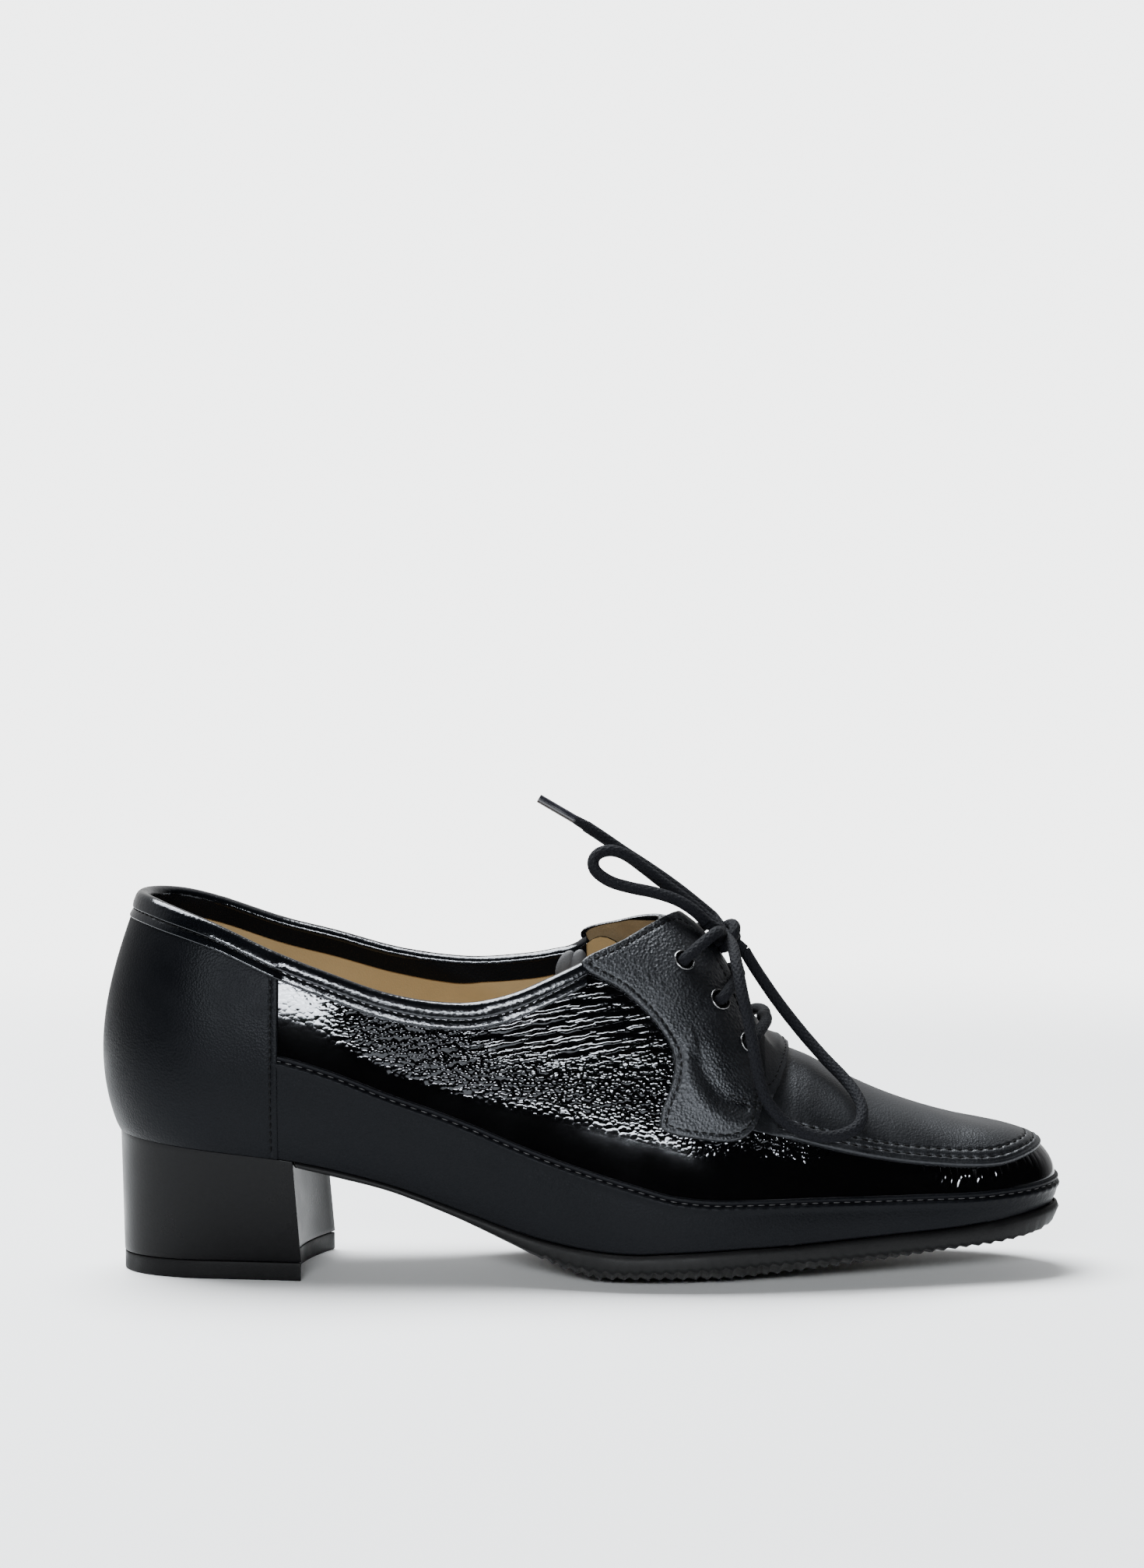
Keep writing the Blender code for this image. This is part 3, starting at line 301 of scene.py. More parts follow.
KNOT = Place(167.8, -2.6, 90.4)
LOOP_REAR = table_of(
    Place,
    (162.2, -6.0, 94.2), (158.6, -6.8, 97.6), (154.0, -7.4, 100.4), (148.0, -8.0, 102.4),
    (142.0, -8.6, 103.7), (136.5, -8.8, 105.4), (132.7, -8.4, 108.1), (132.0, -7.6, 110.8),
    (133.6, -6.8, 112.8), (137.0, -5.8, 113.4), (140.8, -4.6, 112.0), (145.4, -3.4, 108.6),
    (150.4, -2.4, 104.6), (155.8, -1.6, 100.6), (161.6, -1.2, 95.8),
)
LOOP_FRONT = table_of(
    Place,
    (172.6, -3.0, 86.2), (176.0, -3.2, 80.6), (181.8, -4.0, 72.2), (188.0, -5.4, 64.4), (194.0, -8.8, 57.8),
    (198.8, -13.0, 53.2), (201.8, -18.0, 49.6), (203.2, -22.8, 46.0), (202.0, -26.6, 42.6),
    (198.0, -29.2, 40.6), (192.2, -31.2, 40.2), (186.4, -32.0, 41.8), (181.4, -32.2, 45.0),
    (177.6, -32.4, 49.8), (175.6, -32.2, 55.2), (174.2, -30.8, 62.4), (172.8, -28.6, 70.4),
    (171.2, -26.0, 77.6), (170.0, -21.4, 84.0), (169.2, -14.4, 88.0), (168.6, -9.0, 89.2),
)
END_REAR = table_of(
    Place,
    (164.4, 2.4, 94.6), (160.8, 2.8, 97.6), (154.2, 3.2, 102.8), (147.2, 3.6, 107.7), (140.0, 3.6, 112.4),
    (134.8, 3.4, 116.0), (130.0, 3.2, 119.2),
)
TIP_REAR = (Place(129.6, 3.2, 119.5), Place(117.4, 2.6, 126.7))
END_FRONT = table_of(
    Place,
    (170.4, 3.6, 89.2), (168.6, 12.0, 87.0), (164.4, 20.0, 81.6), (160.6, 25.6, 74.4), (159.2, 30.8, 66.0),
    (158.6, 34.4, 58.0),
)
TIP_FRONT = (Place(158.6, 34.6, 57.6), Place(158.8, 37.8, 47.2))


def interpolate(table: Sequence[NamedTuple], places: object) -> Array:
    """Rows of a table at the given places, on cubics through its rows with each slope from the neighbours.

    Args:
        table: rows whose first column is the place along the shoe.
        places: one place or many, in mm.

    Returns:
        One row for each place.
    """
    rows, slope = table_arrays(tuple(table))
    known = rows[:, 0]
    places = np.clip(np.atleast_1d(np.asarray(places, float)), known[0], known[-1])
    low = np.clip(np.searchsorted(known, places, side="right") - 1, 0, len(known) - 2)
    step = (known[low + 1] - known[low])[:, None]
    t = (places - known[low])[:, None] / step
    return (
        (2 * t**3 - 3 * t**2 + 1) * rows[low]
        + (t**3 - 2 * t**2 + t) * step * slope[low]
        + (3 * t**2 - 2 * t**3) * rows[low + 1]
        + (t**3 - t**2) * step * slope[low + 1]
    )


@lru_cache(maxsize=None)
def table_arrays(table: tuple) -> Sheet:
    """A table's rows as numbers, and the slope of each column at each row."""
    rows = np.asarray(table, float)
    return rows, np.gradient(rows, rows[:, 0], axis=0)


def straight(table: Sequence[NamedTuple], places: object, name: str) -> Array:
    """One named column of a table at the given places, on straight lines between its rows."""
    rows, _ = table_arrays(tuple(table))
    return np.interp(places, rows[:, 0], rows[:, table[0]._fields.index(name)])


def smooth_path(points: Sequence[Sequence[float]], steps: int, closed: bool = False) -> Array:
    """Points along a smooth curve through the given ones.

    Args:
        points: the places the curve passes.
        steps: steps between neighbours.
        closed: whether the last place leads back to the first.

    Returns:
        The curve's points, one a row.
    """
    known = np.asarray(points, float)
    count = len(known)
    path = []
    for i in range(count if closed else count - 1):
        places = [(i + k) % count if closed else min(max(i + k, 0), count - 1) for k in (-1, 0, 1, 2)]
        before, start, end, after = known[places]
        for k in range(steps):
            t = k / steps
            path.append(
                start
                + 0.5 * t * (end - before)
                + t**2 * (before - 2.5 * start + 2 * end - 0.5 * after)
                + t**3 * (-0.5 * before + 1.5 * start - 1.5 * end + 0.5 * after)
            )
    return np.array(path if closed else path + [known[-1]])


def run_lengths(path: Array) -> Array:
    """Length along a path at each of its points."""
    return np.concatenate([[0.0], np.cumsum(np.linalg.norm(np.diff(path, axis=0), axis=1))])


def sample(places: object, known: Array, values: Array) -> Array:
    """Rows of an array at places between its own, on straight lines."""
    return np.stack([np.interp(places, known, column) for column in values.T], axis=-1)


def even_path(path: Array, count: int) -> Array:
    """The path again, with this many points spaced evenly along it."""
    length = run_lengths(path)
    return sample(np.linspace(0, length[-1], count), length, path)


def unit(vector: Array) -> Array:
    """The vector, or each row of an array of them, at length one."""
    return vector / np.maximum(np.linalg.norm(vector, axis=-1, keepdims=True), 1e-12)


def bell(distance: object, width: float) -> Array:
    """Soft bump: one at zero distance, fading over the width."""
    return np.exp(-((np.asarray(distance, float) / width) ** 2))


def ease(value: object, low: float, high: float) -> Array:
    """Smooth step from zero at low to one at high."""
    t = np.clip((np.asarray(value, float) - low) / (high - low), 0.0, 1.0)
    return t * t * (3 - 2 * t)


def rolled(distance: object, radius: float) -> Array:
    """Share of its full height that a rounded edge has at a distance in from it."""
    turned = np.clip(np.asarray(distance, float) / radius, 0.0, 1.0)
    return np.sqrt(1 - (1 - turned) ** 2)


class Swell(NamedTuple):
    """Soft ridge beside a panel's edge, or a groove where its height is below zero."""

    at: float
    height: float
    width: float


def swells(rows: Sequence[Swell], distance: object) -> Array:
    """Height of several ridges at each distance in from the edge."""
    return sum(row.height * bell(np.asarray(distance, float) - row.at, row.width) for row in rows)


def to_world(points: Array) -> Array:
    """Places in the shoe's frame, in mm, as places in the row frame, in metres."""
    return (np.asarray(points, float) - np.array([LENGTH / 2, 0.0, 0.0])) * MM


@dataclass(frozen=True)
class Last:
    """Form that the upper is shaped over, with meridians that fan out round a pole at each end."""

    heel_pole: float = 34.0
    heel_reach: float = 28.4
    heel_power: float = 2.3
    toe_pole: float = 230.0
    toe_reach: float = 25.0
    toe_power: float = 2.6
    samples: int = 121
    bulge_lean: float = 0.8

    @property
    def body(self) -> float:
        """Station of the toe pole."""
        return self.toe_pole - self.heel_pole

    @property
    def back(self) -> float:
        """Station of the back seam."""
        return -90.0

    @property
    def tip(self) -> float:
        """Station of the tip of the toe."""
        return self.body + 90.0

    @property
    def toe_x(self) -> float:
        """Place of the feather edge at the tip."""
        return self.toe_pole + self.toe_reach

    def fold(self, side: Side, station: float) -> tuple[Side, float]:
        """Side and station of a place that runs past the back seam or the tip.

        Args:
            side: side of the shoe.
            station: place along it.

        Returns:
            The true side and station.
        """
        if station < self.back:
            return side.other, 2 * self.back - station
        if station > self.tip:
            return side.other, 2 * self.tip - station
        return side, station

    def section(self, x: float) -> Section:
        """Section of the last at x."""
        return Section(*interpolate(SECTIONS, x)[0])

    def ridge_height(self, x: object) -> Array:
        """Height of the ridge at each x."""
        return interpolate(SECTIONS, x)[:, Section._fields.index("ridge_z")]

    def plan(self, side: Side, station: float) -> tuple[Section, Array, Array, Side]:
        """Section, feather point, apex and true side of one meridian.

        Args:
            side: side of the shoe.
            station: place along it.

        Returns:
            The four, in that order.
        """
        side, station = self.fold(side, station)
        x = self.heel_pole + station
        narrow = 1.0
        apex_x = x
        if station < 0:
            turn = math.radians(-station)
            x = self.heel_pole - self.heel_reach * math.sin(turn) ** (2 / self.heel_power)
            narrow = abs(math.cos(turn)) ** (2 / self.heel_power)
            apex_x = self.heel_pole
        elif station > self.body:
            turn = math.radians(station - self.body)
            x = self.toe_pole + self.toe_reach * math.sin(turn) ** (2 / self.toe_power)
            narrow = abs(math.cos(turn)) ** (2 / self.toe_power)
            apex_x = self.toe_pole
        row = self.section(x)
        middle = (row.lateral_y + row.medial_y) / 2
        foot = np.array([x, middle + (side.pick(row, "y") - middle) * narrow, side.pick(row, "z")])
        return row, foot, np.array([apex_x, self.section(apex_x).ridge_y]), side

    def meridian(self, side: Side, station: float) -> Array:
        """Points up the bare wall, from the feather edge to the ridge.

        Args:
            side: side of the shoe.
            station: place along it.

        Returns:
            The points, one a row.
        """
        row, foot, apex, side = self.plan(side, station)
        turn = np.linspace(0, math.pi / 2, self.samples)
        rise = np.sin(turn) ** (2 / row.crown_power)
        reach = np.cos(turn) ** (2 / row.side_power)
        reach[-1] = 0.0
        leaned = np.minimum(rise / row.bulge_top, 1) ** self.bulge_lean
        swell = side.pick(row, "bulge") * np.sin(math.pi * leaned)
        run = foot[:2] - apex
        plan = apex + reach[:, None] * run + swell[:, None] * unit(run)
        top = self.ridge_height(plan[:, 0])
        return np.column_stack([plan, foot[2] + (top - foot[2]) * rise])

    def outline(self, side: Side, station: float, outset: float) -> Array:
        """Plan point of the feather edge, moved outward.

        Args:
            side: side of the shoe.
            station: place along it.
            outset: how far out.

        Returns:
            The point.
        """
        ahead = self.plan(side, station + NUDGE)[1]
        behind = self.plan(side, station - NUDGE)[1]
        run = (ahead - behind)[:2]
        out = np.array([run[1], -run[0]]) * -side.value
        return self.plan(side, station)[1][:2] + outset * unit(out)

    def stations(self, start: float, stop: float, step: float, turn_step: float) -> list[float]:
        """Stations from start to stop, evenly spaced over the body and over each end.

        Args:
            start: first station.
            stop: last station.
            step: longest step along the body, in mm.
            turn_step: longest step round an end, in degrees.

        Returns:
            The stations in order.
        """
        stops = [start] + [q for q in (0.0, self.body) if start < q < stop] + [stop]
        found = [start]
        for low, high in zip(stops, stops[1:]):
            pace = step if 0.0 <= low < self.body else turn_step
            count = max(1, math.ceil((high - low) / pace))
            found += [low + (high - low) * (i + 1) / count for i in range(count)]
        return found

    def at_x(self, x: float) -> float:
        """Station of a place along the body."""
        return x - self.heel_pole


LAST = Last()


class Column:
    """One meridian of the wall, with its outward normals and its length measured up from the feather edge."""

    def __init__(self, side: Side, station: float) -> None:
        """Reads the meridian and its normals off the last.

        Args:
            side: side of the shoe.
            station: place along it.
        """
        self.side, self.station = LAST.fold(side, station)
        self.points = LAST.meridian(side, station)
        along = LAST.meridian(side, station + NUDGE) - LAST.meridian(side, station - NUDGE)
        normal = np.cross(along, np.gradient(self.points, axis=0)) * -side.value
        low, high = LAST.ridge_height(self.points[-1, 0] + np.array([-NUDGE, NUDGE]))
        normal[-1] = (low - high, 0.0, 2 * NUDGE)
        self.normals = unit(normal)
        self.arc = run_lengths(self.points)
        self.foot_x = float(self.points[0, 0])

    def normal(self, arcs: object) -> Array:
        """Outward direction at each length up the wall, level at the feather edge.

        Args:
            arcs: lengths up the wall.

        Returns:
            The directions, one a row.
        """
        arcs = np.atleast_1d(np.asarray(arcs, float))
        found = sample(arcs, self.arc, self.normals)
        found[arcs <= 0, 2] = 0.0
        return unit(found)

    def along(self, arcs: object, lifts: object = 0.0) -> Array:
        """Points at these lengths up the wall, lifted off it. A length below zero runs in under the wall.

        Args:
            arcs: lengths up the wall.
            lifts: lift at each, or one for all.

        Returns:
            The points, one a row.
        """
        arcs = np.atleast_1d(np.asarray(arcs, float))
        lifts = np.broadcast_to(np.asarray(lifts, float), arcs.shape) + np.minimum(arcs, 0.0)
        return sample(arcs, self.arc, self.points) + lifts[:, None] * self.normal(arcs)

    def up(self, arc: float) -> Array:
        """Direction up the wall."""
        low, high = self.along([arc - NUDGE, arc + NUDGE])
        return unit(high - low)

    def first(self, level: Array) -> float:
        """Length at which a measure along the column first reaches zero.

        Args:
            level: the measure at each of its points.

        Returns:
            The length, or the column's own.
        """
        over = np.nonzero(level >= 0)[0]
        if not len(over):
            return float(self.arc[-1])
        high = over[0]
        if high == 0:
            return 0.0
        share = level[high - 1] / (level[high - 1] - level[high])
        return float(self.arc[high - 1] + share * (self.arc[high] - self.arc[high - 1]))

    def line(self, name: str) -> float:
        """Length at which the column meets a panel edge."""
        heights = interpolate(LINES, self.points[:, 0])[:, Lines._fields.index(name)]
        return self.first(self.points[:, 2] - heights)

    def top(self) -> float:
        """Length at which the wall ends, at the collar or at the slot under the lace flaps.

        Returns:
            The length.
        """
        heights = interpolate(RIM, self.points[:, 0])[:, Rim._fields.index(self.side.word)]
        end = RIM_END if self.side is Side.LATERAL else RIM[-1].x
        heights = np.where(self.points[:, 0] > end, OPEN_TOP, heights)
        slot = straight(THROAT, self.points[:, 0], self.side.word)
        ridge_y = interpolate(SECTIONS, self.points[:, 0])[:, Section._fields.index("ridge_y")]
        off_ridge = np.abs(self.points[:, 1] - ridge_y)
        return self.first(np.maximum(self.points[:, 2] - heights, slot - off_ridge))


@lru_cache(maxsize=None)
def column(side: Side, station: float) -> Column:
    """The column at this station, made once."""
    return Column(side, station)


def round_trip(start: float, stop: float, step: float, turn_step: float) -> list[Column]:
    """Columns out along the lateral side and back along the medial one, round the tip or the heel.

    Args:
        start: station the run leaves from, on the lateral side.
        stop: station it turns at, the tip or the back seam.
        step: longest step along the body, in mm.
        turn_step: longest step round an end, in degrees.

    Returns:
        The columns in order.
    """
    low, high = min(start, stop), max(start, stop)
    found = LAST.stations(low, high, step, turn_step)
    if stop < start:
        found = found[::-1]
    return there_and_back(found)


def there_and_back(stations: Sequence[float]) -> list[Column]:
    """Columns at these stations on the lateral side, then back on the medial one."""
    return [column(Side.LATERAL, q) for q in stations] + [column(Side.MEDIAL, q) for q in stations[-2::-1]]


def width_point(x: float, y: float, lift: float) -> Array:
    """Point of the wall over a place in plan, lifted off it, on the body of the shoe.

    Args:
        x: place along the shoe.
        y: place across it.
        lift: how far off the wall.

    Returns:
        The point.
    """
    side = Side.LATERAL if y < LAST.section(x).ridge_y else Side.MEDIAL
    wall = column(side, LAST.at_x(x))
    off = np.abs(wall.points[:, 1] - y)
    off[wall.points[:, 2] <= wall.points[:, 2].mean()] = np.inf
    nearest = int(np.argmin(off))
    low, high = max(nearest - 1, 0), min(nearest + 1, len(off) - 1)
    ys = wall.points[low : high + 1, 1] * -side.value
    arc = np.interp(y * -side.value, ys, wall.arc[low : high + 1])
    return wall.along(arc, lift)[0]


def plan_frame(x: float, y: float, lift: float) -> Sheet:
    """Place on a flap over a point in plan, and the direction out of it.

    Args:
        x: place along the shoe.
        y: place across it.
        lift: how far off the wall.

    Returns:
        The place and the direction.
    """
    low = width_point(x, y, 0.0)
    out = unit(width_point(x, y, 1.0) - low)
    return low + lift * out, out


class Graph:
    """Node tree of one material, built up round its Principled shader."""

    def __init__(self, name: str) -> None:
        """Starts a material with its shader and its coordinates.

        Args:
            name: the material's name.
        """
        self.material = bpy.data.materials.new(name)
        self.material.use_nodes = True
        self.tree = self.material.node_tree
        self.shader = self.tree.nodes["Principled BSDF"]
        self.coords = self.tree.nodes.new("ShaderNodeTexCoord")

    def add(self, kind: str, inputs: dict[object, object], **settings: object) -> bpy.types.Node:
        """New node with its inputs linked or set, and its settings.

        Args:
            kind: its type, without the prefix.
            inputs: sockets or values, by input.
            settings: its own settings.

        Returns:
            The node.
        """
        made = self.tree.nodes.new(f"ShaderNode{kind}")
        for key, value in settings.items():
            setattr(made, key, value)
        for key, value in inputs.items():
            self.feed(made, key, value)
        return made

    def feed(self, node: bpy.types.Node, key: object, value: object) -> None:
        """Links a socket to an input, or sets the input.

        Args:
            node: the node.
            key: its input.
            value: a socket or a value.
        """
        if isinstance(value, Socket):
            self.tree.links.new(value, node.inputs[key])
        else:
            node.inputs[key].default_value = value

    def set(self, **values: object) -> None:
        """Feeds the shader, with underscores for the blanks in its input names."""
        for key, value in values.items():
            self.feed(self.shader, key.replace("_", " "), value)

    def place(self, source: str = "Object") -> Socket:
        """Coordinates in metres."""
        return self.mapped(self.coords.outputs[source])

    def mapped(self, place: Socket, **settings: object) -> Socket:
        """Coordinates turned or stretched."""
        return self.add("Mapping", {"Vector": place, **settings}).outputs["Vector"]

    def noise(self, place: Socket, size_mm: float, detail: float = 2.0) -> Socket:
        """Cloudy noise with features of about this size."""
        inputs = {"Vector": place, "Scale": 1 / (size_mm * MM), "Detail": detail}
        return self.add("TexNoise", inputs).outputs["Fac"]

    def cells(self, place: Socket, size_mm: float) -> Socket:
        """Distance inside cells of about this size."""
        return self.add("TexVoronoi", {"Vector": place, "Scale": 1 / (size_mm * MM)}).outputs["Distance"]

    def math(self, operation: str, first: object, second: object) -> Socket:
        """Result of one sum on two values."""
        return self.add("Math", {0: first, 1: second}, operation=operation).outputs["Value"]

    def span(self, value: Socket, low: float, high: float, start: float, stop: float) -> Socket:
        """The value from start to stop, carried over to low to high."""
        inputs = {"Value": value, "From Min": start, "From Max": stop, "To Min": low, "To Max": high}
        return self.add("MapRange", inputs, interpolation_type="SMOOTHSTEP").outputs["Result"]

    def ramp(self, value: Socket, low: Sequence[float], high: Sequence[float]) -> Socket:
        """Colour between two, by a value.

        Args:
            value: from zero to one.
            low: colour at zero.
            high: colour at one.

        Returns:
            The colour.
        """
        made = self.add("ValToRGB", {"Fac": value})
        made.color_ramp.elements[0].color = (*low, 1.0)
        made.color_ramp.elements[1].color = (*high, 1.0)
        return made.outputs["Color"]

    def bump(self, height: Socket, depth_mm: float, under: Socket | None = None) -> Socket:
        """Normal of a relief of this depth, over another one.

        Args:
            height: the relief.
            depth_mm: its depth.
            under: normal of the one below.

        Returns:
            The normal.
        """
        inputs: dict[str, object] = {"Height": height, "Distance": depth_mm * MM, "Strength": 1.0}
        if under is not None:
            inputs["Normal"] = under
        return self.add("Bump", inputs).outputs["Normal"]

    def attribute(self, name: str) -> Socket:
        """Value stored on the mesh."""
        return self.add("Attribute", {}, attribute_name=name).outputs["Fac"]


@dataclass(frozen=True)
class Finish:
    """One surface: its colour and gloss, each between two values, and its grain."""

    name: str
    low: Triple
    high: Triple
    roughness_low: float
    roughness_high: float
    grain_mm: float
    grain_depth_mm: float
    cloud_mm: float = 14.0
    metallic: float = 0.0
    coat: float = 0.0
    coat_roughness: float = 0.1
    specular: float = 0.5
    # Colour of the surface's reflections; the leathers use it for a painted blue cast of the light.
    tint: Triple = (1.0, 1.0, 1.0)

    def build(self) -> bpy.types.Material:
        """The finish as a material.

        Returns:
            The material.
        """
        graph = Graph(self.name)
        place = graph.place()
        cloud = graph.noise(place, self.cloud_mm, 4.0)
        graph.set(
            Base_Color=graph.ramp(cloud, self.low, self.high),
            Roughness=graph.span(cloud, self.roughness_low, self.roughness_high, 0.3, 0.7),
            Metallic=self.metallic,
            Coat_Weight=self.coat,
            Coat_Roughness=self.coat_roughness,
            Specular_IOR_Level=self.specular,
            Specular_Tint=(*self.tint, 1.0),
        )
        graph.set(Normal=self.relief(graph, place))
        return graph.material

    def relief(self, graph: Graph, place: Socket) -> Socket:
        """Pebbled grain with a finer one over it."""
        pebble = graph.bump(graph.cells(place, self.grain_mm), self.grain_depth_mm)
        return graph.bump(graph.noise(place, self.grain_mm / 3, 3.0), self.grain_depth_mm / 2, pebble)


@dataclass(frozen=True)
class PatentFinish(Finish):
    """Lacquered leather, crinkled where the mesh says so: in cells, or drawn out along the shoe."""

    cell_mm: float = 1.4
    streak_mm: float = 1.6
    streak_stretch: float = 0.18
    streak_share: float = 1.15
    streak_rise_deg: float = 11.0
    crinkle_depth_mm: float = 0.4
    drift_mm: float = 1.2
    drift_size_mm: float = 3.0
    pucker_mm: float = 1.4
    pucker_stretch: float = 0.16
    pucker_depth_mm: float = 0.9

    def domes(self, graph: Graph, place: Socket, size_mm: float, scale: Sequence[float]) -> Socket:
        """Small rounded swellings side by side, drawn out where the scale is small."""
        off = graph.cells(graph.mapped(place, Scale=scale), size_mm)
        return graph.math("SUBTRACT", 1.0, graph.math("MULTIPLY", off, off))

    def relief(self, graph: Graph, place: Socket) -> Socket:
        """Crinkles by the mesh's own masks, over a faint orange peel.

        Args:
            graph: the material's nodes.
            place: coordinates.

        Returns:
            The normal.
        """
        inputs = {"Vector": place, "Scale": 1 / (self.drift_size_mm * MM), "Detail": 2.0}
        warp = graph.add("TexNoise", inputs).outputs["Color"]
        drift = graph.add("VectorMath", {0: warp, "Scale": self.drift_mm * MM}, operation="SCALE")
        moved = graph.add("VectorMath", {0: place, 1: drift.outputs["Vector"]}, operation="ADD")
        bent = moved.outputs["Vector"]
        cells = self.domes(graph, bent, self.cell_mm, (1, 1, 1))
        turn = (0.0, math.radians(self.streak_rise_deg), 0.0)
        stretch = (self.streak_stretch, self.streak_stretch, 1)
        streaks = self.domes(graph, graph.mapped(bent, Rotation=turn), self.streak_mm, stretch)
        streak = graph.attribute("streak")
        crinkle = graph.attribute("crinkle")
        mixed = graph.math(
            "ADD",
            graph.math("MULTIPLY", streaks, graph.math("MULTIPLY", streak, self.streak_share)),
            graph.math("MULTIPLY", cells, graph.math("SUBTRACT", 1.0, streak)),
        )
        height = graph.math("MULTIPLY", mixed, crinkle)
        peel = graph.bump(graph.noise(place, self.grain_mm, 2.0), self.grain_depth_mm)
        wrinkled = graph.bump(height, self.crinkle_depth_mm, peel)
        upright = self.domes(graph, graph.place("UV"), self.pucker_mm, (1, self.pucker_stretch, 1))
        pucker = graph.math("MULTIPLY", upright, graph.attribute("pucker"))
        return graph.bump(pucker, self.pucker_depth_mm, wrinkled)


@dataclass(frozen=True)
class LaceFinish(Finish):
    """Braided cord: strands that cross round it, with a few pale fibres."""

    strand_mm: float = 0.9
    run_share: float = 2.2
    turn_share: float = 1.4

    def relief(self, graph: Graph, place: Socket) -> Socket:
        """Two families of strands that cross, with loose fibres.

        Args:
            graph: the material's nodes.
            place: coordinates.

        Returns:
            The normal.
        """
        flat = graph.place("UV")
        split = graph.add("SeparateXYZ", {"Vector": flat})
        pitch = self.strand_mm * MM / (2 * math.pi)
        run = graph.math("MULTIPLY", split.outputs["X"], 1 / (pitch * self.run_share))
        turn = graph.math("MULTIPLY", split.outputs["Y"], 1 / (pitch * self.turn_share))
        first = graph.math("SINE", graph.math("ADD", run, turn), 0.0)
        second = graph.math("SINE", graph.math("SUBTRACT", run, turn), 0.0)
        weave = graph.math("MAXIMUM", first, second)
        braid = graph.bump(weave, self.grain_depth_mm)
        return graph.bump(graph.noise(place, self.grain_mm, 4.0), self.grain_depth_mm, braid)


class Finishes:
    """Every finish of the shoe, made once."""

    def __init__(self) -> None:
        """Builds the materials."""
        black, blue = (0.0010, 0.0012, 0.0016), (0.0020, 0.0023, 0.0031)
        # Blue tint on the leathers' reflections: a painted blue cast of the light, laid into each finish's
        # specular colour.
        painted_blue_light = (0.9, 0.93, 1.0)
        self.leather = Finish(
            "leather_smooth", black, blue, 0.36, 0.46, 0.6, 0.06, specular=0.08, tint=painted_blue_light
        ).build()
        self.flap = Finish(
            "leather_pebbled", black, blue, 0.33, 0.42, 0.8, 0.17, specular=0.54, tint=painted_blue_light
        ).build()
        self.apron = Finish(
            "leather_apron", black, blue, 0.38, 0.48, 0.6, 0.06, specular=0.38, tint=painted_blue_light
        ).build()
        self.binding = Finish(
            "leather_binding", black, blue, 0.1, 0.17, 1.1, 0.04, specular=0.45, tint=painted_blue_light
        ).build()
        jet, soot = (0.0005, 0.0005, 0.0006), (0.0009, 0.0009, 0.0011)
        self.patent = PatentFinish(
            "leather_patent", jet, soot, 0.05, 0.08, 2.2, 0.01, specular=0.45, tint=painted_blue_light
        ).build()
        self.lining = Finish(
            "lining_tan", (0.25, 0.169, 0.077), (0.34, 0.233, 0.107), 0.5, 0.66, 0.5, 0.03, cloud_mm=22.0
        ).build()
        # Tan of the flaps' lining: a darker copy of lining_tan, painted shade for the far flap's shaded
        # inside, mottled at random in 9 mm clouds.
        self.flap_lining = Finish(
            "lining_flap_painted_shade", (0.085, 0.059, 0.03), (0.21, 0.148, 0.078), 0.5, 0.66, 0.5, 0.05, cloud_mm=9.0
        ).build()
        self.sock = Finish(
            "sock_tan", (0.25, 0.17, 0.085), (0.33, 0.23, 0.118), 0.5, 0.66, 0.5, 0.03, cloud_mm=26.0
        ).build()
        self.rubber = Finish(
            "rubber_sole", (0.0024, 0.0024, 0.0026), (0.0042, 0.0042, 0.0046), 0.44, 0.56, 0.4, 0.03,
            cloud_mm=8.0, specular=0.14,
        ).build()
        self.heel = Finish(
            "heel_cover", (0.0022, 0.0022, 0.0025), (0.0034, 0.0034, 0.0039), 0.26, 0.36, 0.8, 0.012,
            specular=0.09,
        ).build()
        self.lift = Finish(
            "lift_rubber", (0.0026, 0.0026, 0.0028), (0.0042, 0.0042, 0.0046), 0.44, 0.6, 0.4, 0.03,
            cloud_mm=6.0, specular=0.1,
        ).build()
        self.metal = Finish(
            "eyelet_metal", (0.16, 0.16, 0.165), (0.26, 0.26, 0.265), 0.2, 0.32, 0.3, 0.004,
            cloud_mm=1.5, metallic=1.0,
        ).build()
        self.lace = LaceFinish(
            "lace_braid", (0.0014, 0.0016, 0.0026), (0.0046, 0.0050, 0.0072), 0.7, 0.88, 0.16, 0.1,
            cloud_mm=0.5, specular=0.12,
        ).build()
        self.film = Finish(
            "lace_tip_film", (0.008, 0.008, 0.011), (0.022, 0.022, 0.028), 0.16, 0.26, 0.8, 0.006,
            cloud_mm=3.0, coat=0.3,
        ).build()
        self.thread = Finish(
            "thread_black", (0.0008, 0.0008, 0.0009), (0.0016, 0.0016, 0.0018), 0.5, 0.65, 0.25, 0.03,
            cloud_mm=1.0, specular=0.08,
        ).build()
        # Black thread painted a paler grey: painted highlight for the light catching the mudguard's stitches.
        self.thread_painted_highlight = Finish(
            "thread_black_painted_highlight", (0.02, 0.02, 0.021), (0.05, 0.05, 0.052), 0.3, 0.4, 0.25, 0.02,
            cloud_mm=1.0, specular=0.6,
        ).build()
        self.elastic = Finish(
            "elastic_grey", (0.025, 0.025, 0.027), (0.05, 0.05, 0.053), 0.55, 0.7, 0.35, 0.05, cloud_mm=2.0
        ).build()


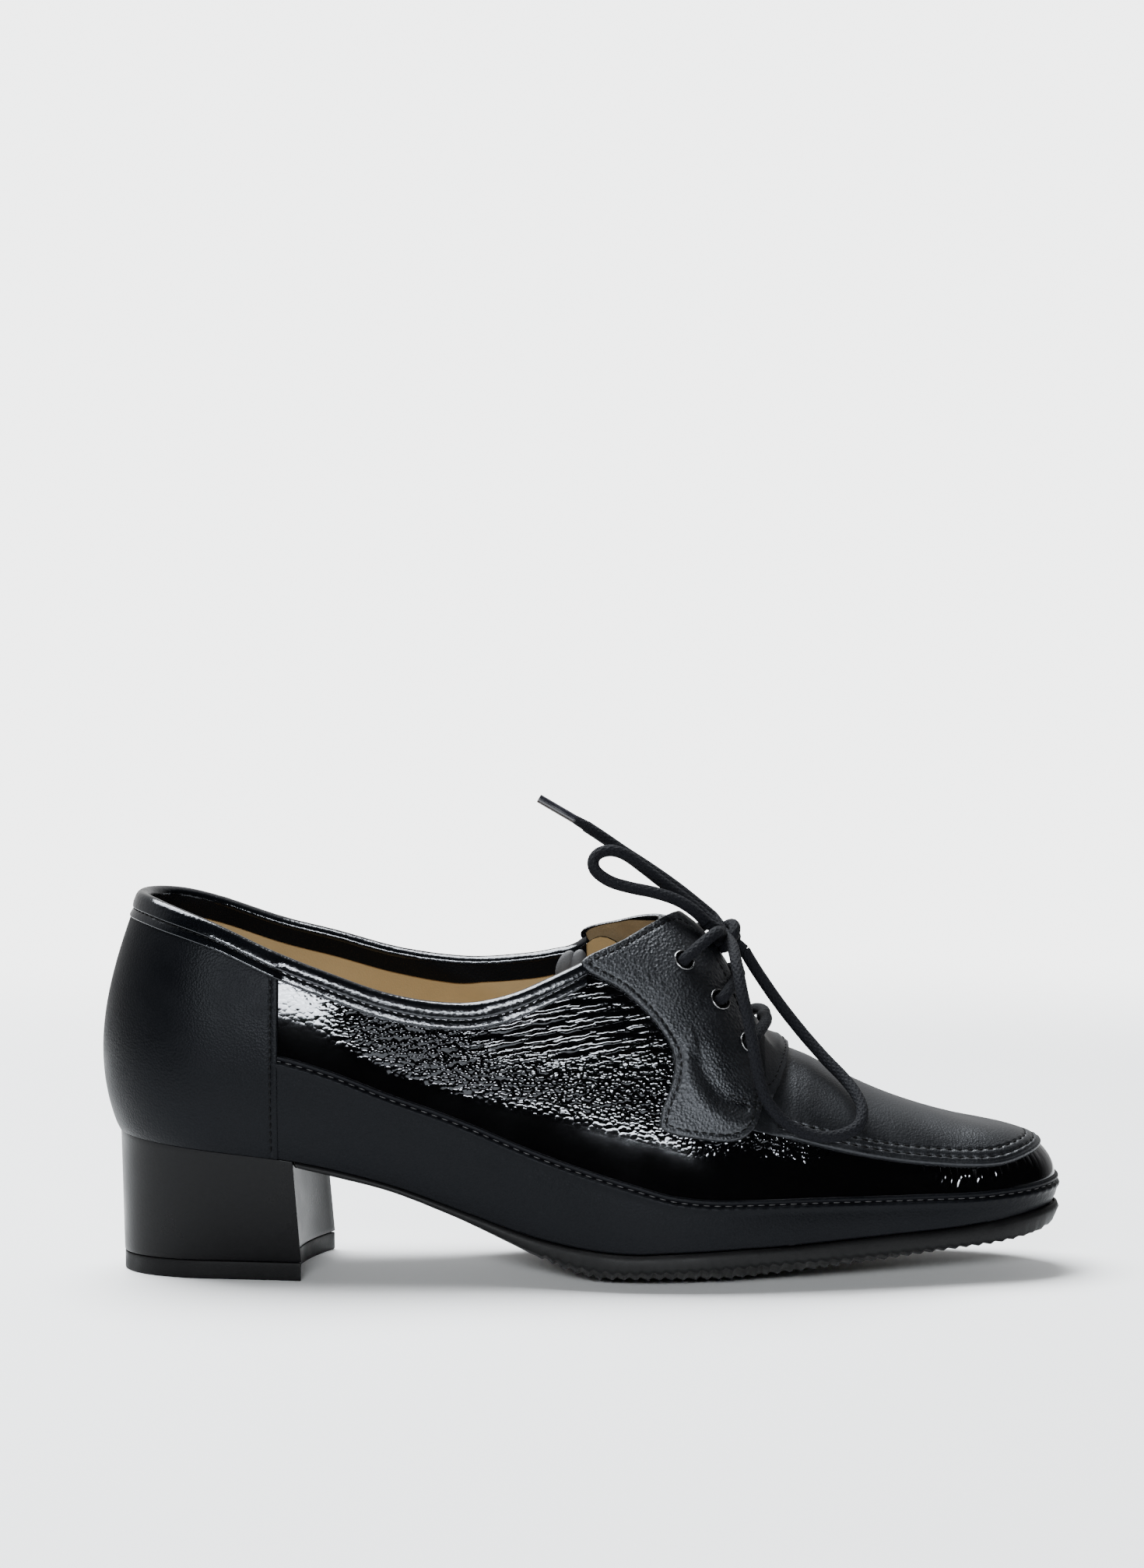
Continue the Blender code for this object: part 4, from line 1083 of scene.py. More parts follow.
def shaped_grid(
    points: Array, outward: Array, masks: dict[str, Array] | None = None
) -> Mesh:
    """Grid laid over a surface, facing outward, with its size along and up in its UV map.

    Args:
        points: places in mm, by step along and step up.
        outward: the side that shows, as a direction for each place.
        masks: values to keep on the vertices, by name.

    Returns:
        The grid in metres.
    """
    along, up = points.shape[0] - 1, points.shape[1] - 1
    bm = bmesh.new()
    bmesh.ops.create_grid(bm, x_segments=along, y_segments=up, size=0.5)
    uv = bm.loops.layers.uv.new("UVMap")
    layers = {name: bm.verts.layers.float.new(name) for name in (masks or {})}
    run = np.concatenate(
        [np.zeros((1, up + 1)), np.cumsum(np.linalg.norm(np.diff(points, axis=0), axis=2), axis=0)]
    )
    run[:] = run.mean(axis=1)[:, None]
    rise = np.concatenate(
        [np.zeros((along + 1, 1)), np.cumsum(np.linalg.norm(np.diff(points, axis=1), axis=2), axis=1)], axis=1
    )
    world = to_world(points)
    facing = 0.0
    places = {}
    for vert in bm.verts:
        i, j = round((vert.co.x + 0.5) * along), round((vert.co.y + 0.5) * up)
        places[vert] = (i, j)
    for vert, (i, j) in places.items():
        vert.co = world[i, j]
        for name, layer in layers.items():
            vert[layer] = float(masks[name][i, j])
    for face in bm.faces:
        for loop in face.loops:
            i, j = places[loop.vert]
            loop[uv].uv = (run[i, j] * MM, rise[i, j] * MM)
        face.normal_update()
        i, j = places[face.loops[0].vert]
        facing += face.normal.dot(Vector(outward[i, j])) * face.calc_area()
    if facing < 0:
        bmesh.ops.reverse_faces(bm, faces=bm.faces)
    bmesh.ops.remove_doubles(bm, verts=bm.verts, dist=MERGE * MM)
    return bm


def add_piece(
    name: str,
    bm: Mesh,
    material: bpy.types.Material,
    nodes: Sequence[str] = (),
    sharp_deg: float = 60.0,
) -> bpy.types.Object:
    """Piece of the shoe from a bmesh, riding on its body and standing for CAD nodes.

    Args:
        name: the piece's name.
        bm: its mesh, which is used up.
        material: its finish.
        nodes: CAD nodes it stands for.
        sharp_deg: angle between faces that stays sharp.

    Returns:
        The object.
    """
    mesh = bpy.data.meshes.new(name)
    bm.to_mesh(mesh)
    bm.free()
    mesh.shade_smooth()
    mesh.set_sharp_from_angle(angle=math.radians(sharp_deg))
    mesh.materials.append(material)
    obj = bpy.data.objects.new(name, mesh)
    bpy.context.scene.collection.objects.link(obj)
    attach(obj, "root")
    if nodes:
        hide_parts(*nodes)
    log.info("%s: %d faces", name, len(mesh.polygons))
    return obj


def tube_grid(path: Array, radii: Array, sides: int) -> Sheet:
    """Places round a path and the directions out of it, each ring turned as little as possible from the last.

    Args:
        path: the centreline, in mm.
        radii: radius at each of its points.
        sides: steps round it.

    Returns:
        Places and directions, by point and step round.
    """
    ahead = unit(np.gradient(path, axis=0))
    across = np.array(Vector(ahead[0]).orthogonal())
    rings, outs = [], []
    for centre, forward, radius in zip(path, ahead, radii):
        across = unit(across - forward * (across @ forward))
        other = np.cross(forward, across)
        turn = np.linspace(0, 2 * math.pi, sides + 1)[:, None]
        out = across * np.cos(turn) + other * np.sin(turn)
        rings.append(centre + radius * out)
        outs.append(out)
    return np.array(rings), np.array(outs)


def tube(path: Array, radii: Array, sides: int) -> Mesh:
    """Round tube along a path with closed ends.

    Args:
        path: the centreline, in mm.
        radii: radius at each of its points.
        sides: steps round it.

    Returns:
        The tube.
    """
    points, outs = tube_grid(path, radii, sides)
    bm = shaped_grid(points, outs)
    bmesh.ops.holes_fill(bm, edges=[e for e in bm.edges if e.is_boundary], sides=0)
    return bm


def joined(meshes: Sequence[Mesh]) -> Mesh:
    """Several meshes as one, which uses them up.

    Args:
        meshes: the meshes.

    Returns:
        The one mesh.
    """
    whole = bmesh.new()
    for bm in meshes:
        mesh = bpy.data.meshes.new("joined")
        bm.to_mesh(mesh)
        bm.free()
        whole.from_mesh(mesh)
        bpy.data.meshes.remove(mesh)
    return whole


@dataclass
class Stitches:
    """One row of stitches: short rounded threads laid end to end along a seam."""

    pitch: float = 2.3
    length: float = 1.75
    width: float = 0.5
    height: float = 0.42
    sides: int = 6
    rings: int = 4

    def sew(self, path: Array, outs: Array) -> Mesh:
        """Stitches along a path on a surface.

        Args:
            path: the seam, in mm.
            outs: direction out of the surface at each of its points.

        Returns:
            All the stitches as one mesh.
        """
        bm = bmesh.new()
        length = run_lengths(path)
        count = max(1, int(length[-1] / self.pitch))
        for i in range(count):
            middle = (i + 0.5) * length[-1] / count
            ends = (middle - self.length / 2, middle + self.length / 2)
            first, second = (sample(q, length, path) for q in ends)
            out = unit(sample(middle, length, outs))
            ahead = unit(second - first)
            side = unit(np.cross(out, ahead))
            out = np.cross(ahead, side)
            turn = Matrix(np.column_stack([ahead, side, out]).tolist()).to_4x4()
            size = Matrix.Diagonal((self.length / 2 * MM, self.width / 2 * MM, self.height / 2 * MM, 1.0))
            where = Matrix.Translation(Vector(to_world((first + second) / 2)))
            bmesh.ops.create_uvsphere(
                bm, u_segments=self.sides, v_segments=self.rings, radius=1.0, matrix=where @ turn @ size
            )
        return bm


@dataclass
class Upper:
    """Panels of the upper, laid on the last's wall: counter, side band, patent sides, apron and lining."""

    finishes: Finishes
    wall: float = 1.8
    band_lift: float = 0.9
    band_seam: float = 1.5
    band_bead: float = 2.5
    stitch_pitch: float = 2.9
    scallop: float = 0.14
    counter_lift: float = 1.2
    apron_lift: float = 1.0
    apron_seams: Span = (2.5, 4.8)
    apron_back: float = 177.6
    apron_ramp: float = 8.0
    seam_x: float = 49.0
    tucked_x: float = 129.0
    tucked: float = 1.4
    skive: float = 6.0
    skived_share: float = 0.1
    step: float = 1.0
    turn_step: float = 1.8
    fine_step: float = 0.55
    fine_turn: float = 1.0
    foot_rows: tuple[float, ...] = (-1.5, -0.4, 0.0, 0.3)
    foot_drop: float = 0.15
    counter_edge: tuple[float, ...] = (
        0.0, 0.02, 0.08, 0.18, 0.32, 0.5, 0.8, 1.2, 1.6, 1.9, 2.1, 2.3, 2.6, 3.0,
    )
    counter_swells: tuple[Swell, ...] = (Swell(2.1, -0.16, 0.5),)
    band_edge: tuple[float, ...] = (
        4.4, 3.7, 3.2, 2.8, 2.5, 2.2, 1.95, 1.7, 1.5, 1.3, 1.1, 0.9, 0.6, 0.4, 0.2, 0.08, 0.0, -0.02,
    )
    band_swells: tuple[Swell, ...] = (Swell(1.5, -0.5, 0.34), Swell(2.5, 0.42, 0.75))
    apron_swells: tuple[Swell, ...] = table_of(
        Swell,
        (0.75, 0.26, 0.5), (1.85, 0.3, 0.5), (3.7, 0.16, 0.9), (2.5, -0.3, 0.32), (4.8, -0.3, 0.32),
    )
    crinkle_least: float = 0.04
    crinkle_start: Span = (58.0, 78.0)
    crinkle_edge: Span = (-7.0, 3.0)
    crinkle_end: Span = (188.0, 200.0)
    crinkle_fade: float = 0.9
    crinkle_rear: float = 0.8
    crinkle_eased: Span = (90.0, 125.0)
    streak_rise: Span = (52.0, 66.0)
    streak_start: Span = (88.0, 108.0)
    pucker_places: tuple[Swell, ...] = (Swell(181.0, 1.0, 8.0), Swell(230.0, 1.0, 14.0))
    pucker_off: float = 1.2
    pucker_reach: float = 3.4

    def build(self) -> None:
        """Makes every panel."""
        self.make_counter()
        self.make_band()
        self.make_patent()
        self.make_apron()
        self.make_lining()

    def lay(
        self, columns: Sequence[Column], rows: Callable[[Column], Sheet]
    ) -> tuple[Array, Array, Array]:
        """Places, directions and lengths up the wall of a sheet.

        Args:
            columns: the columns it lies on.
            rows: gives the lengths up a column and the lifts of the sheet's rows.

        Returns:
            Places, outward directions, and lengths, by column and row.
        """
        points, outs, arcs = [], [], []
        for wall in columns:
            length, lift = rows(wall)
            points.append(wall.along(length, lift))
            outs.append(wall.normal(length))
            arcs.append(length)
        return np.array(points), np.array(outs), np.array(arcs)

    def counter_rows(self, wall: Column) -> Sheet:
        """Rows of the counter, thinned to the collar and turned down at its front edge.

        Args:
            wall: the column they lie on.

        Returns:
            Lengths up the wall, and lifts off it.
        """
        top = wall.top() + 0.2
        arcs = np.concatenate([self.foot_rows, np.linspace(1.0, top, 46)])
        lift = self.counter_lift * np.minimum(1.0, self.skived_share + np.maximum(top - arcs, 0) / self.skive)
        inside = self.seam_x - wall.points[0, 0] if wall.station >= 0 else self.seam_x
        lift = lift * rolled(inside, EDGE_ROLL) + swells(self.counter_swells, inside)
        return arcs, np.where(arcs < self.foot_rows[-1], lift - self.foot_drop, lift)

    def make_counter(self) -> None:
        """Counter round the heel, from seam to seam."""
        seam = LAST.at_x(self.seam_x)
        fine = [seam - off for off in self.counter_edge]
        rest = LAST.stations(LAST.back, seam - 3.8, self.step, self.turn_step)[::-1]
        points, outs, _ = self.lay(there_and_back(fine + rest), self.counter_rows)
        add_piece("counter", shaped_grid(points, outs), self.finishes.leather, ["upper"])
        paths = []
        for side in Side:
            wall = column(side, seam - self.counter_swells[0].at)
            arcs = np.linspace(2.0, wall.top() - 6.0, 40)
            paths.append(Stitches(pitch=2.2).sew(wall.along(arcs, self.counter_lift), wall.normal(arcs)))
        add_piece("counter_stitches", joined(paths), self.finishes.thread)

    def band_rows(self, wall: Column) -> Sheet:
        """Rows of the side band: tucked under at the sole, grooved and rolled at its upper edge.

        Args:
            wall: the column they lie on.

        Returns:
            Lengths up the wall, and lifts off it.
        """
        top = wall.line("mudguard")
        edge = top - np.array(self.band_edge)
        arcs = np.concatenate([self.foot_rows, np.linspace(0.8, top - 5.2, 12), edge])
        under = top - arcs
        lift = self.band_lift * rolled(under, EDGE_ROLL) + swells(self.band_swells, under)
        return arcs, np.where(arcs < self.foot_rows[-1], lift - self.foot_drop, lift)

    def make_band(self) -> None:
        """Side band along the sole, from the counter round the toe."""
        columns = round_trip(LAST.at_x(self.seam_x - 1.5), LAST.tip, self.fine_step, self.fine_turn)
        points, outs, arcs = self.lay(columns, self.band_rows)
        seam = np.array([wall.line("mudguard") - self.band_seam for wall in columns])
        path = np.array([wall.along(arc, self.band_lift - 0.3)[0] for wall, arc in zip(columns, seam)])
        normals = np.array([wall.normal(arc)[0] for wall, arc in zip(columns, seam)])
        below = seam[:, None] - arcs - (self.band_bead - self.band_seam)
        points = points + self.puckers(path, self.scallop / 2 * bell(below, 0.7))[:, :, None] * outs
        add_piece("mudguard", shaped_grid(points, outs), self.finishes.leather)
        # The mudguard's stitches use the paler thread, a painted highlight along the seam.
        add_piece(
            "mudguard_stitches",
            Stitches(pitch=self.stitch_pitch, length=1.9, width=0.28, height=0.4).sew(path, normals),
            self.finishes.thread_painted_highlight,
        )

    def puckers(self, path: Array, near: Array) -> Array:
        """Small swellings between the stitches of a seam.

        Args:
            path: the seam.
            near: how much of them each place beside it takes, by step along and row.

        Returns:
            The lift at each place.
        """
        run = run_lengths(path)
        count = max(1, int(run[-1] / self.stitch_pitch))
        wave = np.cos(2 * math.pi * run * count / run[-1])
        return -wave[:, None] * near

    def patent_rows(self, wall: Column) -> Sheet:
        """Rows of the patent side, from under the band to the collar, the slot or the apron.

        Args:
            wall: the column they lie on.

        Returns:
            Lengths up the wall, and lifts off it.
        """
        low = wall.line("mudguard") - 1.0
        apron = wall.line("apron") + 1.2
        share = float(ease(wall.foot_x, 157.0, 168.0))
        high = wall.top() + 0.2
        if wall.side is Side.MEDIAL and wall.foot_x > self.tucked_x:
            high -= self.tucked
        high = high + (min(apron, high) - high) * share
        arcs = np.linspace(low, high, 56)
        return arcs, np.zeros_like(arcs)

    def make_patent(self) -> None:
        """Patent sides, one band from the lateral counter seam round the toe to the medial one."""
        columns = round_trip(LAST.at_x(self.seam_x - 1.5), LAST.tip, self.step, self.turn_step)
        points, outs, arcs = self.lay(columns, self.patent_rows)
        x, z = points[:, :, 0], points[:, :, 2]
        to_apron = np.array([[wall.line("apron")] for wall in columns]) - arcs
        lit = z - np.interp(x, [row.x for row in LIT_EDGE], [row.z for row in LIT_EDGE])
        crinkle = (self.crinkle_least + ease(x, *self.crinkle_start)) * ease(lit, *self.crinkle_edge)
        crinkle = crinkle * (1 - self.crinkle_fade * ease(x, *self.crinkle_end))
        crinkle = crinkle * (1 + self.crinkle_rear * (1 - ease(x, *self.crinkle_eased)))
        streak = ease(z, *self.streak_rise) * ease(x, *self.streak_start)
        below = np.maximum(to_apron - self.pucker_off, 0)
        pucker = swells(self.pucker_places, x) * bell(below, self.pucker_reach)
        masks = {"crinkle": crinkle, "streak": streak, "pucker": pucker}
        add_piece("patent_sides", shaped_grid(points, outs, masks), self.finishes.patent)

    def apron_rows(self, wall: Column) -> Sheet:
        """Rows of the apron, from its raised lip to the ridge or the slot.

        Args:
            wall: the column they lie on.

        Returns:
            Lengths up the wall, and lifts off it.
        """
        low, high = wall.line("apron"), wall.top()
        edge = np.concatenate([[-0.05, 0.0, 0.05, 0.12], np.arange(0.25, 6.1, 0.22)])
        rest = np.linspace(low + 6.6, max(high, low + 7.2), 30)
        arcs = np.minimum(np.concatenate([low + edge, rest]), high)
        over = arcs - low
        ramp = float(np.clip((wall.foot_x - self.apron_back) / self.apron_ramp, 0.12, 1.0))
        lift = self.apron_lift * rolled(over, EDGE_ROLL) + swells(self.apron_swells, over)
        return arcs, lift * ramp

    def make_apron(self) -> None:
        """Apron over the toes, with its two rows of stitches."""
        columns = round_trip(LAST.at_x(160.0), LAST.tip, self.fine_step, self.fine_turn)
        points, outs, arcs = self.lay(columns, self.apron_rows)
        low = np.array([wall.line("apron") for wall in columns])
        middle = sum(self.apron_seams) / 2
        over = arcs - low[:, None]
        between = self.scallop * sum(bell(over - seam, 0.55) for seam in self.apron_seams)
        path = np.array([wall.along(arc + middle)[0] for wall, arc in zip(columns, low)])
        shown = np.array([wall.foot_x > self.apron_back + 2.0 for wall in columns])
        points = points + (self.puckers(path, between) * shown[:, None])[:, :, None] * outs
        add_piece("apron", shaped_grid(points, outs), self.finishes.apron)
        rows = []
        for off in self.apron_seams:
            places = [(wall, arc + off) for wall, arc, seen in zip(columns, low, shown) if seen]
            path = np.array([wall.along(arc, self.apron_lift - 0.12)[0] for wall, arc in places])
            normals = np.array([wall.normal(arc)[0] for wall, arc in places])
            rows.append(Stitches(pitch=self.stitch_pitch, length=2.0).sew(path, normals))
        add_piece("apron_stitches", joined(rows), self.finishes.thread)

    def lining_rows(self, wall: Column) -> Sheet:
        """Rows of the lining, up the inside of the wall."""
        arcs = np.linspace(0.0, wall.top() - 0.2, 36)
        return arcs, np.full_like(arcs, -self.wall)

    def make_lining(self) -> None:
        """Lining all round the inside."""
        stations = LAST.stations(LAST.back, LAST.tip, 2.0, 4.0)
        lateral = [column(Side.LATERAL, q) for q in stations]
        medial = [column(Side.MEDIAL, q) for q in stations[::-1]]
        points, outs, _ = self.lay(lateral + medial, self.lining_rows)
        add_piece("lining", shaped_grid(points, -outs), self.finishes.lining)


class Profile(NamedTuple):
    """Point of the collar binding's section: off the wall's outer face, and up from its edge."""

    off: float
    up: float


@dataclass
class Collar:
    """Patent roll over the collar edge, with a flat strip below it."""

    finishes: Finishes
    upper: Upper
    profile: tuple[Profile, ...] = table_of(
        Profile,
        (0.45, -2.7), (0.95, -2.6), (1.22, -1.6), (1.3, -0.4), (1.1, 0.8), (0.3, 1.75),
        (-0.9, 2.0), (-2.1, 1.6), (-2.75, 0.6), (-2.8, -1.4), (-2.75, -4.5), (-2.3, -4.6),
    )
    strip_low: float = -5.4
    strip_lift: float = 0.5
    seam_depth: float = 3.0
    seam_lift: float = 0.42
    facing_span: Span = (-4.7, 0.0)
    facing_off: float = -2.95
    front_x: float = 130.2

    def columns(self) -> list[Column]:
        """Columns from the lateral front end round the heel to the medial one."""
        return round_trip(LAST.at_x(self.front_x), LAST.back, 1.2, 2.0)

    def proud(self, wall: Column, below: Array) -> Array:
        """How far the counter lifts the binding at a depth below the edge.

        Args:
            wall: the column.
            below: the depths.

        Returns:
            The lift at each.
        """
        if wall.foot_x >= self.upper.seam_x:
            return np.zeros_like(below)
        return self.upper.counter_lift * np.minimum(1.0, self.upper.skived_share + below / self.upper.skive)

    def build(self) -> None:
        """Makes the roll, the strip and the stitches between them, and the facing inside."""
        self.make_roll()
        self.make_strip()
        self.make_facing()

    def make_roll(self) -> None:
        """Roll over the edge, open underneath where it sits on the wall."""
        section = smooth_path(self.profile, 4)
        points, outs = [], []
        for wall in self.columns():
            top = wall.top()
            up = wall.up(top)
            off, rise = section[:, 0], section[:, 1]
            lift = off + np.where(off > 0, self.proud(wall, np.maximum(-rise, 0.0)), 0.0)
            ring = wall.along(top + np.minimum(rise, 0.0), lift) + np.maximum(rise, 0.0)[:, None] * up
            points.append(ring)
            middle = wall.along(top - 1.0, -0.8)[0]
            outs.append(unit(ring - middle))
        bm = shaped_grid(np.array(points), np.array(outs))
        add_piece("collar_roll", bm, self.finishes.binding, ["collar_binding"])

    def make_facing(self) -> None:
        """Dull facing on the roll's inner side."""
        points, outs, _ = self.upper.lay(self.columns(), self.facing_rows)
        add_piece("collar_facing", shaped_grid(points, -outs), self.finishes.leather)

    def facing_rows(self, wall: Column) -> Sheet:
        """Rows of the facing, flat on the roll's inner side."""
        ups = np.linspace(*self.facing_span, 8)
        return wall.top() + ups, np.full_like(ups, self.facing_off)

    def strip_rows(self, wall: Column) -> Sheet:
        """Rows of the flat strip, turned down at both edges.

        Args:
            wall: the column they lie on.

        Returns:
            Lengths up the wall, and lifts off it.
        """
        ups = np.array([-5.45, -5.4, -5.3, -5.1, -4.8, -4.3, -3.8, -3.3, -2.9, -2.6, -2.4])
        lift = self.strip_lift * rolled(ups - self.strip_low, EDGE_ROLL) - 0.15 * bell(ups + 2.9, 0.35)
        return wall.top() + ups, lift + self.proud(wall, -ups) * (ups > -5.42)

    def make_strip(self) -> None:
        """Strip under the roll, and the stitches along the joint."""
        columns = self.columns()
        points, outs, _ = self.upper.lay(columns, self.strip_rows)
        add_piece("collar_strip", shaped_grid(points, outs), self.finishes.binding)
        path = []
        for wall in columns:
            lift = self.seam_lift + self.proud(wall, np.array([self.seam_depth]))
            path.append(wall.along([wall.top() - self.seam_depth], lift)[0])
        normals = np.array([wall.normal(wall.top() - self.seam_depth)[0] for wall in columns])
        bm = Stitches(pitch=2.2).sew(np.array(path), normals)
        add_piece("collar_stitches", bm, self.finishes.thread)


@dataclass
class Flaps:
    """Lace flap of one side: pebbled leather lined with tan, with a folded edge and eyelet holes."""

    finishes: Finishes
    side: Side
    face: float = 1.6
    under: float = 0.4
    roll: float = 0.5
    across: int = 72
    levels: int = 104
    border: float = 1.7
    lining_inset: float = 1.5
    lining_tuck: float = 2.4
    groove_depth: float = 0.2
    groove_width: float = 0.35
    crease_reach: float = 8.0
    crease_clear: Span = (0.5, 4.0)
    hole: float = 2.75
    crease_depth: float = 0.6
    crease_width: float = 2.4
    ridge_height: float = 0.9
    ridge_width: float = 3.2
    ridge_off: float = 4.4

    def __post_init__(self) -> None:
        """Splits the flap's edge into its back and its front, by height, and reads the crease."""
        edge = smooth_path(self.corners(), 12, closed=True)
        top, bottom = int(np.argmax(edge[:, 1])), int(np.argmin(edge[:, 1]))
        self.front = np.roll(edge, -top, axis=0)[: (bottom - top) % len(edge) + 1][::-1]
        self.back = np.roll(edge, -bottom, axis=0)[: (top - bottom) % len(edge) + 1]
        self.edge = np.vstack([edge, edge[:1]])
        self.crease = smooth_path(FLAP_CREASE, 8)
        self.top_z, self.low_z = float(edge[top, 1]), float(edge[bottom, 1])

    def corners(self) -> list[Corner]:
        """Corners of the flap's edge. The medial flap's top stands higher at its back.

        Returns:
            The corners in order.
        """
        if self.side is Side.LATERAL:
            return list(FLAP_EDGE)
        places = np.array(FLAP_EDGE)
        share = np.clip((places[:, 1] - RISE_FOOT) / (RISE_FULL - RISE_FOOT), 0.0, 1.0)
        rise = share * straight(MEDIAL_RISE, places[:, 0], "rise")
        return [Corner(x, z + up) for (x, z), up in zip(FLAP_EDGE, rise)]

    def chain(self, points: Array, level: float) -> float:
        """Place along the shoe of one side of the edge at a height."""
        heights = np.maximum.accumulate(points[:, 1] + np.arange(len(points)) * 1e-9)
        return float(np.interp(level, heights, points[:, 0]))

    def wall_point(self, x: float, z: float) -> Sheet:
        """Place and outward direction on the wall at this x and height.

        Args:
            x: place along the shoe.
            z: height.

        Returns:
            The place and the direction.
        """
        low = math.floor(x * 2) / 2
        share = (x - low) * 2
        first, second = column(self.side, LAST.at_x(low)), column(self.side, LAST.at_x(low + 0.5))
        points = first.points * (1 - share) + second.points * share
        normals = first.normals * (1 - share) + second.normals * share
        level = np.interp(z, points[:, 2], np.arange(len(points)))
        index = np.arange(len(points))
        return sample(level, index, points), unit(sample(level, index, normals))

    def nearest(self, route: Array, x: float, z: float) -> Span:
        """Distance of a place from a route, and how far it lies to the left of it.

        Args:
            route: points seen from the side.
            x: place along the shoe.
            z: height.

        Returns:
            The distance and the offset.
        """
        step = np.diff(route, axis=0)
        off = np.array([x, z]) - route[:-1]
        share = np.clip((off * step).sum(axis=1) / (step * step).sum(axis=1), 0.0, 1.0)
        away = off - share[:, None] * step
        length = np.hypot(away[:, 0], away[:, 1])
        i = int(np.argmin(length))
        ahead = unit(step[i])
        return float(length[i]), float(ahead[0] * away[i, 1] - ahead[1] * away[i, 0])

    def lift(self, x: float, z: float) -> float:
        """Lift of the flap's face off the wall: rolled at its edge, grooved at its stitches, and creased.

        Args:
            x: place along the shoe.
            z: height.

        Returns:
            The lift.
        """
        edge, _ = self.nearest(self.edge, x, z)
        off, left = self.nearest(self.crease, x, z)
        height = self.under + (self.face - self.under) * float(rolled(edge, self.roll))
        groove = self.groove_depth * float(bell(edge - self.border, self.groove_width))
        beside = left if abs(left) > 0.9 * off else math.copysign(off, left)
        fold = self.ridge_height * float(bell(beside + self.ridge_off, self.ridge_width))
        fold -= self.crease_depth * float(bell(off, self.crease_width))
        share = float(bell(off, self.crease_reach)) * float(ease(edge, *self.crease_clear))
        return height - groove + fold * share

    def flat(self, x: float, z: float) -> float:
        """Lift of the lining, the same all over."""
        return self.under

    def sheet(self, inset: float, lift: Callable[[float, float], float]) -> Sheet:
        """Places and outward directions of a sheet of the flap's shape.

        Args:
            inset: how far the sheet stays inside the flap's edge.
            lift: its lift off the wall at a place seen from the side.

        Returns:
            Places and directions, by step across and level.
        """
        shares = (1 - np.cos(np.linspace(0, math.pi, self.across + 1))) / 2
        rise = (1 - np.cos(np.linspace(0, math.pi, self.levels + 1))) / 2
        levels = self.low_z + inset + (self.top_z - self.low_z - 2 * inset) * rise
        points = np.zeros((self.across + 1, self.levels + 1, 3))
        outs = np.zeros_like(points)
        for j, z in enumerate(levels):
            back, front = self.chain(self.back, z) + inset, self.chain(self.front, z) - inset
            for i, share in enumerate(shares):
                x = back + (front - back) * share
                place, out = self.wall_point(x, z)
                points[i, j] = place + lift(x, z) * out
                outs[i, j] = out
        return points, outs

    def build(self) -> None:
        """Makes the flap with its lining and stitches."""
        name = self.side.word
        points, outs = self.sheet(0.0, self.lift)
        face = shaped_grid(points, outs)
        inset = self.lining_inset * (1.0 if self.side is Side.MEDIAL else self.lining_tuck)
        points, outs = self.sheet(inset, self.flat)
        lining = shaped_grid(points, -outs)
        for eyelet in EYELETS:
            centre, out = plan_frame(eyelet.x, self.side.value * eyelet.off_ridge, self.face)
            self.pierce(face, Vector(to_world(centre)), Vector(out))
            self.pierce(lining, Vector(to_world(centre)), Vector(out))
        add_piece(f"flap_{name}", face, self.finishes.flap, [f"eyestay_{name}"])
        # The flap's lining takes the darker tan, painted shade for its shaded inside.
        add_piece(f"flap_lining_{name}", lining, self.finishes.flap_lining)
        self.make_stitches()

    def pierce(self, bm: Mesh, centre: Vector, out: Vector) -> None:
        """Opens a round hole in the sheet.

        Args:
            bm: the sheet.
            centre: middle of the hole.
            out: its axis.
        """
        radius = self.hole * MM
        inner = [v for v in bm.verts if self.off_axis(v.co, centre, out).length < radius * 0.8]
        bmesh.ops.delete(bm, geom=inner, context="VERTS")
        for vert in bm.verts:
            off = self.off_axis(vert.co, centre, out)
            if off.length < radius * 1.25 and vert.is_boundary:
                vert.co += off * (radius / off.length - 1)

    def off_axis(self, place: Vector, centre: Vector, out: Vector) -> Vector:
        """Offset of a place from the axis of a hole."""
        off = place - centre
        return off - out * off.dot(out)

    def seam(self, route: Array, over: float) -> Sheet:
        """Places and directions along a route on the flap's face.

        Args:
            route: points seen from the side.
            over: lift off the face.

        Returns:
            The places and the directions.
        """
        places, outs = [], []
        for x, z in route:
            place, out = self.wall_point(x, z)
            places.append(place + (self.lift(x, z) + over) * out)
            outs.append(out)
        return np.array(places), np.array(outs)

    def make_stitches(self) -> None:
        """Border stitches inside the flap's edge, and the bar at its front foot."""
        tangent = unit(np.gradient(self.edge, axis=0))
        inward = np.column_stack([tangent[:, 1], -tangent[:, 0]])
        border = self.edge + inward * self.border
        rows = [Stitches(pitch=2.2).sew(*self.seam(even_path(border, 160), 0.1))]
        for off in (0.0, 1.3):
            tack = np.array(BAR_TACK) + np.array([0.0, off])
            rows.append(Stitches(pitch=1.3, length=1.2).sew(*self.seam(even_path(tack, 12), 0.1)))
        add_piece(f"flap_stitches_{self.side.word}", joined(rows), self.finishes.thread)


